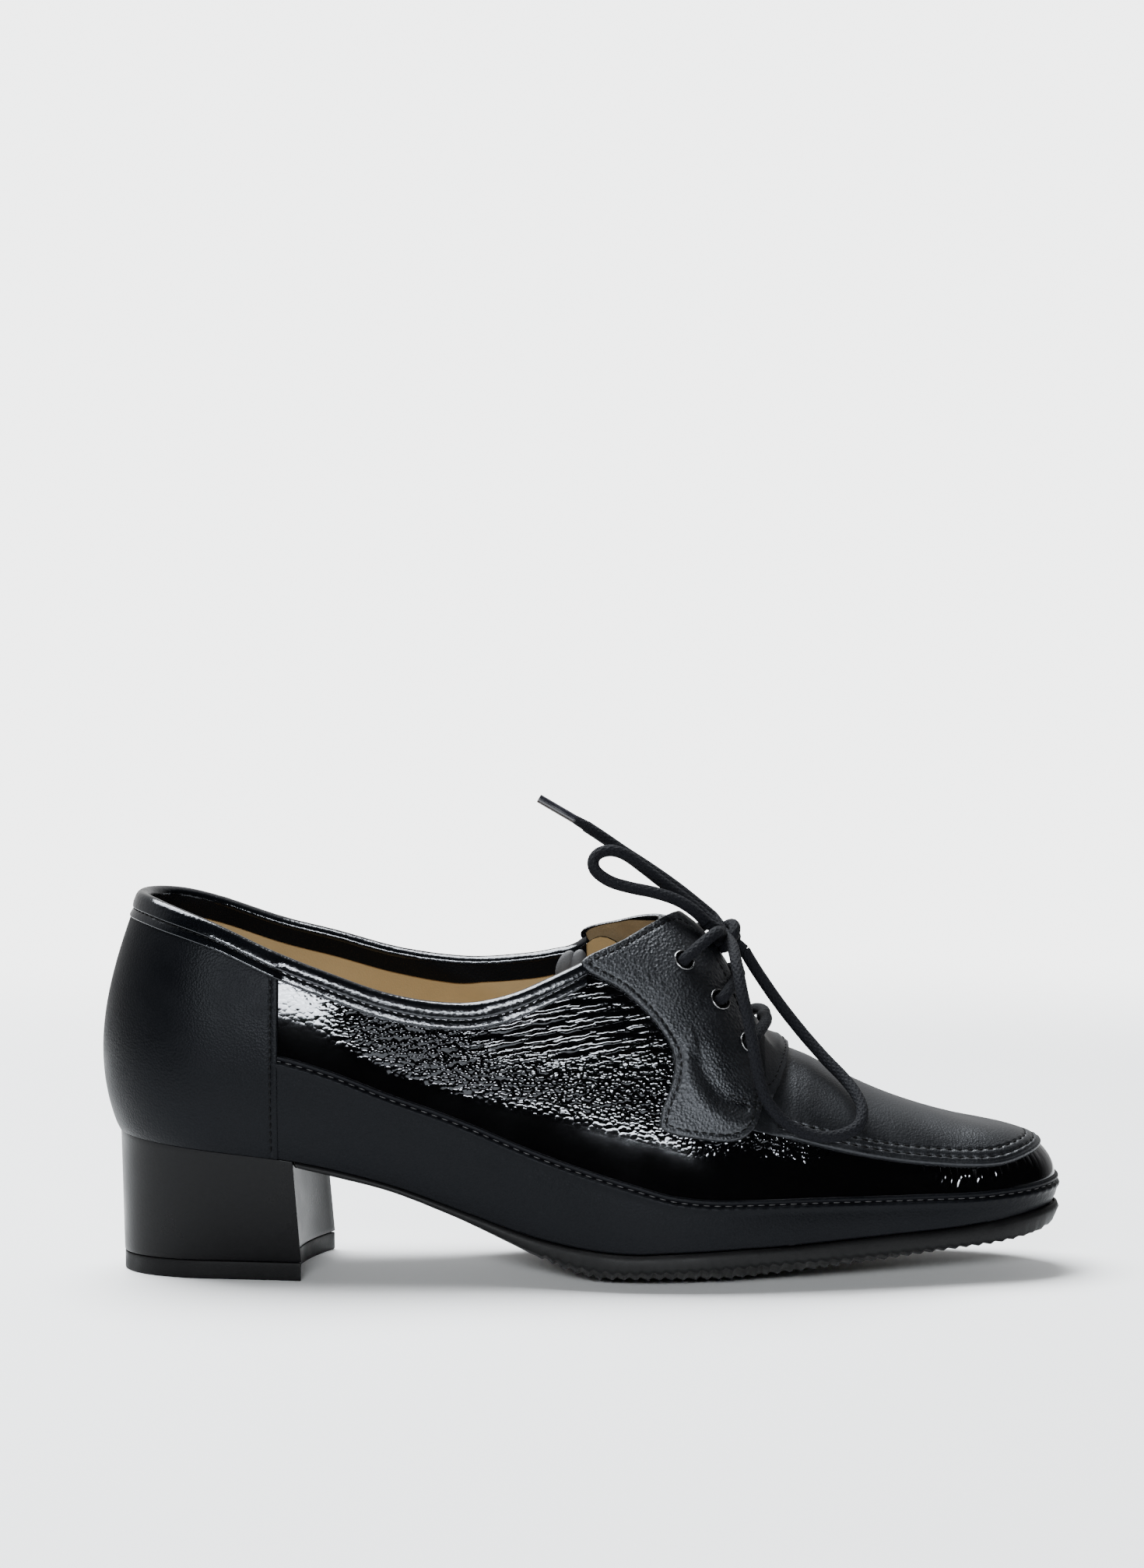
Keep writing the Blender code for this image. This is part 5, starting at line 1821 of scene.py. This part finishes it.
@dataclass
class Eyelets:
    """Thin metal rims round the eyelet holes."""

    finishes: Finishes
    face: float = 1.6
    bore: float = 2.5
    flange: float = 3.05
    rim: float = 0.36
    neck: float = 1.6
    steps: int = 40

    def build(self) -> None:
        """Spins one ring for each eyelet."""
        for side in Side:
            for eyelet in EYELETS:
                self.make_ring(side, eyelet)

    def make_ring(self, side: Side, eyelet: EyeletPlace) -> None:
        """One ring: a rolled flange on a neck.

        Args:
            side: side of the shoe.
            eyelet: its place.
        """
        centre, out = plan_frame(eyelet.x, side.value * eyelet.off_ridge, self.face + 0.05)
        axis = Vector(out)
        across = axis.orthogonal().normalized()
        origin = Vector(to_world(centre))
        profile = smooth_path(
            [
                (self.bore, -self.neck),
                (self.bore, -0.1),
                (self.bore + 0.1, self.rim * 0.8),
                ((self.bore + self.flange) / 2, self.rim),
                (self.flange - 0.05, self.rim * 0.6),
                (self.flange, 0.0),
            ],
            3,
        )
        bm = bmesh.new()
        verts = [bm.verts.new(origin + (across * r + axis * h) * MM) for r, h in profile]
        edges = [bm.edges.new(pair) for pair in zip(verts, verts[1:])]
        bmesh.ops.spin(
            bm,
            geom=verts + edges,
            cent=origin,
            axis=axis,
            angle=2 * math.pi,
            steps=self.steps,
            use_merge=True,
        )
        bmesh.ops.recalc_face_normals(bm, faces=bm.faces)
        if sum(face.normal.dot(axis) for face in bm.faces) < 0:
            bmesh.ops.reverse_faces(bm, faces=bm.faces)
        name = f"{side.word}_{eyelet.name}"
        add_piece(f"eyelet_ring_{name}", bm, self.finishes.metal, [f"eyelet_{name}"])


@dataclass
class Tongue:
    """Saddle-shaped strip that fills the slot and laps over the apron with a stitched front end."""

    finishes: Finishes
    thick: float = 0.9
    sag_half: float = 12.0
    lap_x: float = 176.4
    across: int = 48
    border: float = 1.6

    def point(self, x: float, share: float) -> Array:
        """Place on the outer face at x, from the lateral (-1) to the medial (1) edge.

        Args:
            x: place along the shoe.
            share: place across it.

        Returns:
            The place.
        """
        half = float(straight(TONGUE, x, "half"))
        y = half * share
        lift = float(straight(TONGUE, x, "lift"))
        lift -= float(straight(TONGUE, x, "sag")) * max(0.0, 1 - (y / self.sag_half) ** 2)
        return width_point(x, y, lift)

    def build(self) -> None:
        """Makes the strip and its stitches."""
        slot = np.arange(TONGUE[0].x, self.lap_x, 0.9)
        stops = np.concatenate([slot, np.linspace(self.lap_x, TONGUE[-1].x, 26)])
        shares = np.linspace(-1, 1, self.across + 1)
        points = np.array([[self.point(float(x), float(share)) for share in shares] for x in stops])
        outs = np.zeros_like(points)
        outs[:, :, 2] = 1.0
        bm = shaped_grid(points, outs)
        obj = add_piece("tongue_strip", bm, self.finishes.apron, ["tongue"])
        thick = obj.modifiers.new("thickness", "SOLIDIFY")
        thick.thickness = self.thick * MM
        thick.offset = -1.0
        self.make_stitches()

    def make_stitches(self) -> None:
        """One row inside the front edge."""
        front = [(row.x, row.half) for row in TONGUE if row.x > self.lap_x]
        edge = [(x - 0.9, -half + self.border) for x, half in front]
        edge += [(TONGUE[-1].x - self.border, 0.0)] + [(x, -y) for x, y in reversed(edge)]
        route = smooth_path(edge, 6)
        path, outs = [], []
        for x, y in route:
            share = float(np.clip(y / float(straight(TONGUE, x, "half")), -0.97, 0.97))
            path.append(self.point(float(x), share))
            outs.append(plan_frame(float(x), float(y), 0.0)[1])
        bm = Stitches(pitch=2.0, length=1.5).sew(np.array(path), np.array(outs))
        add_piece("tongue_stitches", bm, self.finishes.thread)


@dataclass
class Sole:
    """Outsole with its toe spring, rounded rim and cross ribs, and the sock inside."""

    finishes: Finishes
    gap: float = 0.3
    tread_flat: float = 0.42
    rim_round: float = 1.1
    rim_drop: float = 1.6
    toe_undercut: float = 4.2
    undercut_x: float = 236.0
    breast_lateral: float = 52.6
    breast_medial: float = 58.4
    breast_hollow: float = 4.6
    rib_start: float = 115.0
    rib_pitch: float = 3.15
    rib_depth_ball: float = 0.95
    rib_depth_toe: float = 0.6
    rib_lean: float = 0.35
    rib_rim: float = 0.3
    rim_foot: float = 0.3
    start_x: float = 60.0
    sock_inset: float = 2.2
    sock_lift: float = 2.5
    step: float = 0.45

    def feather(self, x: float, share: float) -> float:
        """Height of the feather edge at x, between the lateral (-1) and the medial (1) side."""
        row = LAST.section(x)
        return (row.lateral_z + row.medial_z) / 2 + share * (row.medial_z - row.lateral_z) / 2

    def bed(self, x: float, share: float) -> float:
        """Top of the sole, dished between its edges."""
        dish = Tread(*interpolate(TREAD, x)[0]).dish if x > self.breast_lateral else 0.0
        return self.feather(x, share) - self.gap - dish * (1 - share**2)

    def tread(self, x: float, share: float) -> float:
        """Underside of the sole: flat across its middle, curving up to the rim.

        Args:
            x: place along the shoe.
            share: place across it.

        Returns:
            Its height.
        """
        row = Tread(*interpolate(TREAD, x)[0])
        middle = max(row.middle_z, 0.0)
        climb = max(abs(share) - self.tread_flat, 0.0) / (1 - self.tread_flat)
        return middle + (row.rim_z - middle) * climb**2

    def rib(self, x: float) -> float:
        """How far the groove between two ribs is cut up into the tread.

        Args:
            x: place along the shoe.

        Returns:
            The depth.
        """
        along = x - self.rib_start
        if along < 0:
            return 0.0
        phase = along / self.rib_pitch % 1.0
        tooth = min(phase / self.rib_lean, (1 - phase) / (1 - self.rib_lean))
        share = along / (LENGTH - self.rib_start)
        depth = self.rib_depth_ball + (self.rib_depth_toe - self.rib_depth_ball) * share
        return depth * tooth * float(ease(along, 0.0, 6.0))

    def ribbed(self, x: float, share: float) -> float:
        """Underside of the sole with its ribs."""
        return self.tread(x, share) + self.rib(x)

    def ring(self, station: float, breast: bool) -> Array:
        """One closed ring: across the top, down the medial rim, back underneath and up the lateral rim.

        Args:
            station: place along the shoe.
            breast: whether it lies against the heel.

        Returns:
            Its points, the first one twice.
        """
        stations = {Side.LATERAL: station, Side.MEDIAL: station}
        if breast:
            stations = {
                Side.LATERAL: LAST.at_x(self.breast_lateral),
                Side.MEDIAL: LAST.at_x(self.breast_medial),
            }
        feet = {side: LAST.plan(side, q)[1] for side, q in stations.items()}
        out = Tread(*interpolate(TREAD, feet[Side.LATERAL][0])[0]).outset
        ahead = max(feet[Side.LATERAL][0] - self.undercut_x, 0.0) / (LAST.toe_x - self.undercut_x)
        undercut = self.toe_undercut * ahead**2
        foot_in, low_in = undercut / 2 + self.rim_foot, undercut + self.rim_round
        insets = (0.0, self.rim_round / 3, self.rim_round, undercut / 3, foot_in, low_in)
        edges = {
            inset: {side: LAST.outline(side, q, out - inset) for side, q in stations.items()}
            for inset in insets
        }

        def across(inset: float, share: float) -> Array:
            """Plan point between the sides.

            Args:
                inset: how far in from the outline.
                share: place from the lateral (-1) to the medial (1) side.

            Returns:
                The point.
            """
            lateral, medial = edges[inset][Side.LATERAL], edges[inset][Side.MEDIAL]
            plan = lateral + (medial - lateral) * (share + 1) / 2
            if breast:
                hollow = self.breast_hollow * (1 - share**2)
                plan[0] = self.breast_lateral + (self.breast_medial - self.breast_lateral) * (share + 1) / 2
                plan[0] += 2 * self.gap - hollow
            return plan

        def rim(side: Side) -> list[Array]:
            """Points down one rim.

            Args:
                side: side of the shoe.

            Returns:
                The points from the top down.
            """
            full = across(0.0, side.value)
            third = across(self.rim_round / 3, side.value)
            lower = across(undercut / 3, side.value)
            foot = across(foot_in, side.value)
            low_z, high_z = self.tread(full[0], side.value), self.bed(full[0], side.value)
            drop = min(self.rim_drop, (high_z - low_z) / 2 - 0.1)
            rib = self.rib(full[0])
            return [
                np.array([*third, high_z - drop * 0.35]),
                np.array([*full, high_z - drop]),
                np.array([*lower, low_z + drop + rib * self.rib_rim]),
                np.array([*foot, low_z + drop * 0.3 + rib]),
            ]

        def row(inset: float, height: Callable, shares: Array) -> list[Array]:
            """Points across the ring.

            Args:
                inset: how far in from the outline.
                height: gives the height at an x and a share.
                shares: places across.

            Returns:
                The points in order.
            """
            plans = [across(inset, float(share)) for share in shares]
            heights = [height(float(plan[0]), float(share)) for plan, share in zip(plans, shares)]
            return [np.array([*plan, z]) for plan, z in zip(plans, heights)]

        shares = np.linspace(-1, 1, 13)
        top = row(self.rim_round, self.bed, shares)
        under = row(low_in, self.ribbed, shares[::-1])
        loop = top + rim(Side.MEDIAL) + under + rim(Side.LATERAL)[::-1]
        return np.array(loop + loop[:1])

    def build(self) -> None:
        """Makes the outsole and the sock."""
        start = LAST.at_x(self.start_x)
        stations = LAST.stations(start, LAST.at_x(self.rib_start), 2.0, 2.0)
        stations += LAST.stations(LAST.at_x(self.rib_start), LAST.tip - 0.2, self.step, 1.0)[1:]
        first = self.ring(start, True)
        rings = np.array([first] + [self.ring(q, False) for q in stations if q > LAST.at_x(self.start_x + 1)])
        centre = rings.mean(axis=1, keepdims=True)
        bm = shaped_grid(rings, unit(rings - centre))
        bmesh.ops.holes_fill(bm, edges=[e for e in bm.edges if e.is_boundary], sides=0)
        bmesh.ops.recalc_face_normals(bm, faces=bm.faces)
        add_piece("sole", bm, self.finishes.rubber, ["outsole"], 50.0)
        self.make_sock()

    def make_sock(self) -> None:
        """Sock over the heel seat and the sole."""
        shares = np.linspace(-1, 1, 25)
        rows = []
        for station in LAST.stations(LAST.back + 3, LAST.tip - 3, 2.5, 4.0):
            lateral, medial = (LAST.outline(side, station, -self.sock_inset) for side in Side)
            plans = [lateral + (medial - lateral) * (share + 1) / 2 for share in shares]
            heights = [self.bed(float(plan[0]), float(share)) for plan, share in zip(plans, shares)]
            rows.append([np.array([*plan, z + self.sock_lift]) for plan, z in zip(plans, heights)])
        points = np.array(rows)
        outs = np.zeros_like(points)
        outs[:, :, 2] = 1.0
        add_piece("sock", shaped_grid(points, outs), self.finishes.sock, ["insole"])


@dataclass
class Heel:
    """Covered heel block with a hollow front, and its rubber lift."""

    finishes: Finishes
    sole: Sole
    lift_height: float = 4.9
    back_x: float = 5.3
    pole: float = 30.0
    power: float = 2.2
    foot_lateral: float = 54.4
    foot_medial: float = 61.0
    side_points: int = 48
    breast_points: int = 20
    levels: int = 20
    seat_outset: float = 0.9
    seat_gap: float = 0.35
    lift_inset: float = 0.12
    lift_gap: float = 0.15
    corner_deg: float = 38.0
    corner_round: float = 0.35
    sharp_deg: float = 35.0

    def floor_edge(self, side: Side, share: float) -> Array:
        """Outline at the floor, from the back (0) to the front (1).

        Args:
            side: side of the shoe.
            share: place along it.

        Returns:
            The plan point.
        """
        front = self.foot_lateral if side is Side.LATERAL else self.foot_medial
        x = self.back_x + (front - self.back_x) * (1 - math.cos(share * math.pi / 2))
        row = Lift(*interpolate(LIFT, x)[0])
        middle = (row.lateral_y + row.medial_y) / 2
        edge = side.pick(row, "y")
        off = min(max((self.pole - x) / (self.pole - self.back_x), 0.0), 1.0)
        return np.array([x, middle + (edge - middle) * (1 - off**self.power) ** (1 / self.power)])

    def seat_edge(self, side: Side, share: float) -> Array:
        """Outline under the upper, from the back seam (0) to the front (1)."""
        front = self.sole.breast_lateral if side is Side.LATERAL else self.sole.breast_medial
        return LAST.outline(side, LAST.back + share * (LAST.at_x(front) - LAST.back), self.seat_outset)

    def loop(
        self, edge: Callable[[Side, float], Array], lateral_x: float, medial_x: float
    ) -> Array:
        """Closed plan loop: up the lateral side, round the back, down the medial side and along the front.

        Args:
            edge: outline of a side, by share.
            lateral_x: front end of the lateral side.
            medial_x: front end of the medial side.

        Returns:
            Its points, the first one twice.
        """
        shares = np.linspace(1, 0, self.side_points + 1)
        lateral = [edge(Side.LATERAL, float(share)) for share in shares]
        medial = [edge(Side.MEDIAL, float(share)) for share in shares[-2::-1]]
        front = []
        for share in np.linspace(1, -1, self.breast_points + 2)[1:-1]:
            y = lateral[0][1] + (medial[-1][1] - lateral[0][1]) * (share + 1) / 2
            x = lateral_x + (medial_x - lateral_x) * (share + 1) / 2
            x -= self.sole.breast_hollow * (1 - share**2)
            front.append(np.array([x, y]))
        return np.array(lateral + medial + front + lateral[:1])

    def block(self, rings: Array) -> Mesh:
        """Closed solid through level rings, with softened corners.

        Args:
            rings: the rings, from the floor up.

        Returns:
            The solid.
        """
        centre = rings.mean(axis=1, keepdims=True)
        bm = shaped_grid(rings, unit(rings - centre))
        bmesh.ops.holes_fill(bm, edges=[e for e in bm.edges if e.is_boundary], sides=0)
        bmesh.ops.recalc_face_normals(bm, faces=bm.faces)
        sharp = math.radians(self.corner_deg)
        corners = [e for e in bm.edges if len(e.link_faces) == 2 and e.calc_face_angle() > sharp]
        bmesh.ops.bevel(
            bm,
            geom=corners,
            offset=self.corner_round * MM,
            segments=3,
            profile=0.5,
            affect="EDGES",
            material=-1,
        )
        return bm

    def build(self) -> None:
        """Makes the block and the lift."""
        seat = self.loop(self.seat_edge, self.sole.breast_lateral, self.sole.breast_medial)
        floor = self.loop(self.floor_edge, self.foot_lateral, self.foot_medial)
        bottom = self.lift_height + self.lift_gap
        top = np.array([self.sole.feather(float(x), 0.0) - self.seat_gap for x in seat[:, 0]])
        rings = []
        for level in np.linspace(0, 1, self.levels + 1):
            plan = floor + (seat - floor) * level
            rings.append(np.column_stack([plan, bottom + (top - bottom) * level]))
        bm = self.block(np.array(rings))
        add_piece("heel", bm, self.finishes.heel, ["heel_block"], self.sharp_deg)
        centre = floor.mean(axis=0)
        plan = floor - unit(floor - centre) * self.lift_inset
        levels = np.linspace(0.0, self.lift_height, 5)
        rings = [np.column_stack([plan, np.full(len(plan), z)]) for z in levels]
        bm = self.block(np.array(rings))
        add_piece("heel_lift", bm, self.finishes.lift, ["top_lift"], self.sharp_deg)


@dataclass
class Lacing:
    """Braided lace: two bars, the knot with its legs, two loops, and two ends with clear tips."""

    finishes: Finishes
    diameter: float = 3.2
    tip_diameter: float = 2.4
    tip_from_end: tuple[float, ...] = (0.0, 8.0, 14.0, 16.0)
    tip_radii: tuple[float, ...] = (0.7, 1.0, 1.4, 1.5)
    sides: int = 16
    pace: float = 0.8
    bar_lift: float = 3.7
    bar_dip: float = 0.55
    knot_turn: Triple = (2.6, 3.2, 3.4)

    def lay(self, name: str, path: Array, nodes: Sequence[str]) -> bpy.types.Object:
        """Tube of lace along a path.

        Args:
            name: the piece's name.
            path: its centreline.
            nodes: CAD nodes it stands for.

        Returns:
            The piece.
        """
        count = max(8, round(run_lengths(path)[-1] / self.pace))
        path = even_path(path, count)
        radii = np.full(count, self.diameter / 2)
        return add_piece(name, tube(path, radii, self.sides), self.finishes.lace, nodes)

    def build(self) -> None:
        """Makes every run of lace."""
        self.make_free()
        self.make_bars()
        self.make_knot()

    def make_free(self) -> None:
        """Loops and ends, each laid as its own tube of lace, with a tip on each end."""
        for name, route in (("lace_loop_rear", LOOP_REAR), ("lace_loop_front", LOOP_FRONT)):
            self.make_cord(name, route)
        for name, route, tip_name, tip in (
            ("lace_end_rear", END_REAR, "lace_tip_rear", TIP_REAR),
            ("lace_end_front", END_FRONT, "lace_tip_front", TIP_FRONT),
        ):
            pieces = self.make_tip(tip_name, tip, route[-2:])
            self.make_cord(name, route)

    def make_cord(
        self, name: str, route: Sequence[Place]
    ) -> None:
        """One free run of lace.

        Args:
            name: the CAD node it stands for.
            route: the places it passes.
        """
        path = smooth_path(route, 12)
        obj = self.lay(f"{name}_braid", path, [name])

    def make_tip(self, name: str, route: Sequence[Place], root: Sequence[Place]) -> list[bpy.types.Object]:
        """Clear tip over the thinned end of the lace, which runs on into it from its last places.

        Args:
            name: the CAD node it stands for.
            route: the tip's ends.
            root: the lace's last places.

        Returns:
            The film and the core.
        """
        path = even_path(smooth_path(route, 12), 24)
        film = tube(path, np.full(len(path), self.tip_diameter / 2), self.sides)
        shell = add_piece(f"{name}_film", film, self.finishes.film, [name])
        inner = even_path(smooth_path((*root, *route), 12), 40)
        radii = np.interp(run_lengths(inner)[-1] - run_lengths(inner), self.tip_from_end, self.tip_radii)
        core = add_piece(f"{name}_core", tube(inner, radii, 12), self.finishes.lace)
        return [shell, core]

    def make_bars(self) -> None:
        """Bars across the tongue, down through the eyelets at both ends."""
        for name, eyelet, bow, ridge_lift in (
            ("lace_bar_lower", EYELETS[2], 4.6, 0.9),
            ("lace_bar_upper", EYELETS[1], 5.2, 0.4),
        ):
            points = []
            for share in np.linspace(-0.86, 0.86, 13):
                lift = ridge_lift + (self.bar_lift - ridge_lift) * abs(share) ** self.bar_dip
                points.append(
                    width_point(eyelet.x + bow * (1 - share**2), float(share) * eyelet.off_ridge, float(lift))
                )
            ends = {}
            for side in Side:
                y = side.value * eyelet.off_ridge
                ends[side] = [width_point(eyelet.x, y, lift) for lift in (-1.6, 1.2, 3.4)]
            path = ends[Side.LATERAL] + points + ends[Side.MEDIAL][::-1]
            self.lay(f"{name}_braid", smooth_path(path, 8), [name])

    def make_knot(self) -> None:
        """Knot: legs from the top eyelets, and a turn of lace round the strands that pass through it."""
        eyelet = EYELETS[0]
        centre = np.array(KNOT)
        meshes = []
        radius = self.diameter / 2
        for side in Side:
            y = side.value * eyelet.off_ridge
            start = [width_point(eyelet.x, y, lift) for lift in (-1.6, 1.2, 3.2)]
            start.append(width_point(eyelet.x + 4.6, y * 0.62, self.bar_lift + 4.3))
            path = smooth_path(start + [centre + np.array([-1.2, side.value * 1.4, -0.6])], 10)
            path = even_path(path, 40)
            meshes.append(tube(path, np.full(len(path), radius), self.sides))
        axis = unit(np.array(LOOP_FRONT[0]) - np.array(LOOP_REAR[0]))
        up = unit(np.cross(axis, np.array([0.0, -1.0, 0.0])))
        side_way = np.cross(axis, up)
        turns = np.linspace(-0.15, 1.2, 60) * 2 * math.pi
        run, high, wide = self.knot_turn
        wrap = [
            centre
            + axis * (run * (turn / (2 * math.pi) - 0.5))
            + up * high * math.cos(turn)
            + side_way * wide * math.sin(turn)
            for turn in turns
        ]
        meshes.append(tube(even_path(np.array(wrap), 60), np.full(60, radius), self.sides))
        strands = (
            (LOOP_REAR[0], LOOP_FRONT[0]),
            (LOOP_REAR[-1], LOOP_FRONT[-1]),
            (END_REAR[0], END_FRONT[0]),
        )
        for first, second in strands:
            middle = centre + (np.add(first, second) / 2 - centre) * 0.3
            path = even_path(smooth_path([first, middle, second], 12), 24)
            meshes.append(tube(path, np.full(24, radius * 0.98), self.sides))
        add_piece("lace_knot_braid", joined(meshes), self.finishes.lace, ["lace_knot"])


class Fold(NamedTuple):
    """One elastic fold beside the collar's end: its place along the shoe, depth below the edge, and lean."""

    x: float
    below: float
    lean_deg: float


@dataclass
class Gussets:
    """Small grey elastic folds between the collar's end and each flap."""

    finishes: Finishes
    folds: tuple[Fold, ...] = (Fold(124.4, 2.0, 24.0), Fold(127.6, 3.0, 16.0))
    half: Triple = (2.4, 1.5, 4.4)
    inset: float = 3.6

    def build(self) -> None:
        """Makes two folds a side."""
        for side in Side:
            bm = bmesh.new()
            for fold in self.folds:
                wall = column(side, LAST.at_x(fold.x))
                edge = wall.along(wall.top(), -self.inset)[0] - np.array([0.0, 0.0, fold.below])
                place = Matrix.Translation(Vector(to_world(edge)))
                turn = Matrix.Rotation(math.radians(fold.lean_deg), 4, "Y")
                size = Matrix.Diagonal((*(h * MM for h in self.half), 1.0))
                matrix = place @ turn @ size
                bmesh.ops.create_uvsphere(bm, u_segments=24, v_segments=16, radius=1.0, matrix=matrix)
            add_piece(f"gusset_{side.word}", bm, self.finishes.elastic)


class Panel(NamedTuple):
    """Soft light: its place, what it points at, its size in metres and its power."""

    name: str
    place: Triple
    target: Triple
    size: Span
    power: float


PANELS = table_of(
    Panel,
    ("panel_top", (-0.36, 0.36, 1.3), (0.0, 0.0, 0.0), (1.1, 0.8), 90.0),
    ("panel_front", (-0.1, -1.6, 0.55), (0.0, 0.0, 0.06), (0.78, 0.145), 23.4),
    ("panel_rear", (-0.25, -1.6, 0.66), (0.0, 0.0, 0.06), (0.34, 0.09), 6.6),
)


@dataclass
class Studio:
    """Pale floor that fades out, soft light from overhead, and the camera in front of the lateral side."""

    camera_place: Triple = (-0.0027, -1.1897, 0.2265)
    camera_pitch_deg: float = 85.4
    lens: float = 102.1
    floor_radius: float = 0.75
    floor_fade: float = 0.4
    background: float = 4.4
    pale_side: Triple = (-0.4, 1.0, 0.0)
    light_colour: Triple = (0.94, 0.975, 1.0)
    pale_span: Span = (-0.35, 0.5)
    surround_span: Span = (0.015, 0.95)

    def build(self) -> None:
        """Makes camera, floor, lights and background."""
        self.make_camera()
        self.make_floor()
        self.make_lights()
        self.make_world()

    def make_camera(self) -> None:
        """Camera a little above the shoe, aimed slightly down."""
        data = bpy.data.cameras.new("camera")
        data.lens = self.lens
        data.sensor_width = 36.0
        data.sensor_height = 36.0
        data.sensor_fit = "AUTO"
        data.clip_start = 0.01
        obj = bpy.data.objects.new("camera", data)
        obj.location = self.camera_place
        obj.rotation_euler = (math.radians(self.camera_pitch_deg), 0.0, 0.0)
        bpy.context.scene.collection.objects.link(obj)
        bpy.context.scene.camera = obj

    def make_floor(self) -> None:
        """Round floor, clear at its rim."""
        bm = bmesh.new()
        bmesh.ops.create_circle(bm, cap_ends=True, segments=96, radius=self.floor_radius)
        mesh = bpy.data.meshes.new("floor")
        bm.to_mesh(mesh)
        bm.free()
        graph = Graph("floor_pale")
        place = graph.place()
        cloud = graph.noise(place, 180.0, 2.0)
        graph.set(Base_Color=graph.ramp(cloud, (0.8, 0.8, 0.8), (0.84, 0.84, 0.84)), Roughness=0.6)
        graph.set(Specular_IOR_Level=0.25)
        reach = graph.add("VectorMath", {0: place}, operation="LENGTH").outputs["Value"]
        graph.set(Alpha=graph.span(reach, 1.0, 0.0, self.floor_fade, self.floor_radius * 0.97))
        mesh.materials.append(graph.material)
        obj = bpy.data.objects.new("floor", mesh)
        bpy.context.scene.collection.objects.link(obj)

    def make_lights(self) -> None:
        """Wide soft panel overhead, and two lower ones above the camera that the patent sides mirror."""
        for panel in PANELS:
            data = bpy.data.lights.new(panel.name, "AREA")
            data.shape = "RECTANGLE"
            data.size, data.size_y = panel.size
            data.energy = panel.power
            data.color = self.light_colour
            obj = bpy.data.objects.new(panel.name, data)
            obj.location = panel.place
            aim = Vector(panel.target) - Vector(panel.place)
            obj.rotation_euler = aim.to_track_quat("-Z", "Y").to_euler()
            bpy.context.scene.collection.objects.link(obj)

    def make_world(self) -> None:
        """Pale background, with a surround for what the shoe reflects: pale behind it and dark in front."""
        world = bpy.data.worlds.new("studio")
        bpy.context.scene.world = world
        world.use_nodes = True
        tree = world.node_tree
        nodes = tree.nodes
        shown = nodes["Background"]
        shown.inputs["Color"].default_value = (0.985, 0.998, 1.0, 1.0)
        shown.inputs["Strength"].default_value = self.background
        toward = nodes.new("ShaderNodeVectorMath")
        toward.operation = "DOT_PRODUCT"
        toward.inputs[1].default_value = self.pale_side
        tree.links.new(nodes.new("ShaderNodeTexCoord").outputs["Generated"], toward.inputs[0])
        share = nodes.new("ShaderNodeMapRange")
        share.interpolation_type = "SMOOTHSTEP"
        tree.links.new(toward.outputs["Value"], share.inputs["Value"])
        keys = ("From Min", "From Max", "To Min", "To Max")
        for key, value in zip(keys, self.pale_span + self.surround_span):
            share.inputs[key].default_value = value
        surround = nodes.new("ShaderNodeBackground")
        tree.links.new(share.outputs["Result"], surround.inputs["Strength"])
        path = nodes.new("ShaderNodeLightPath")
        mix = nodes.new("ShaderNodeMixShader")
        tree.links.new(path.outputs["Is Camera Ray"], mix.inputs["Fac"])
        tree.links.new(surround.outputs["Background"], mix.inputs[1])
        tree.links.new(shown.outputs["Background"], mix.inputs[2])
        tree.links.new(mix.outputs["Shader"], nodes["World Output"].inputs["Surface"])


def main() -> None:
    """Builds the studio, then the shoe's pieces in order."""
    logging.basicConfig(level=logging.INFO, format="%(message)s")
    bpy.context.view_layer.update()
    Studio().build()
    finishes = Finishes()
    Lacing(finishes).build()
    upper = Upper(finishes)
    upper.build()
    Collar(finishes, upper).build()
    for side in Side:
        Flaps(finishes, side).build()
    Eyelets(finishes).build()
    Tongue(finishes).build()
    sole = Sole(finishes)
    sole.build()
    Heel(finishes, sole).build()
    Gussets(finishes).build()


if __name__ == "__main__":
    main()
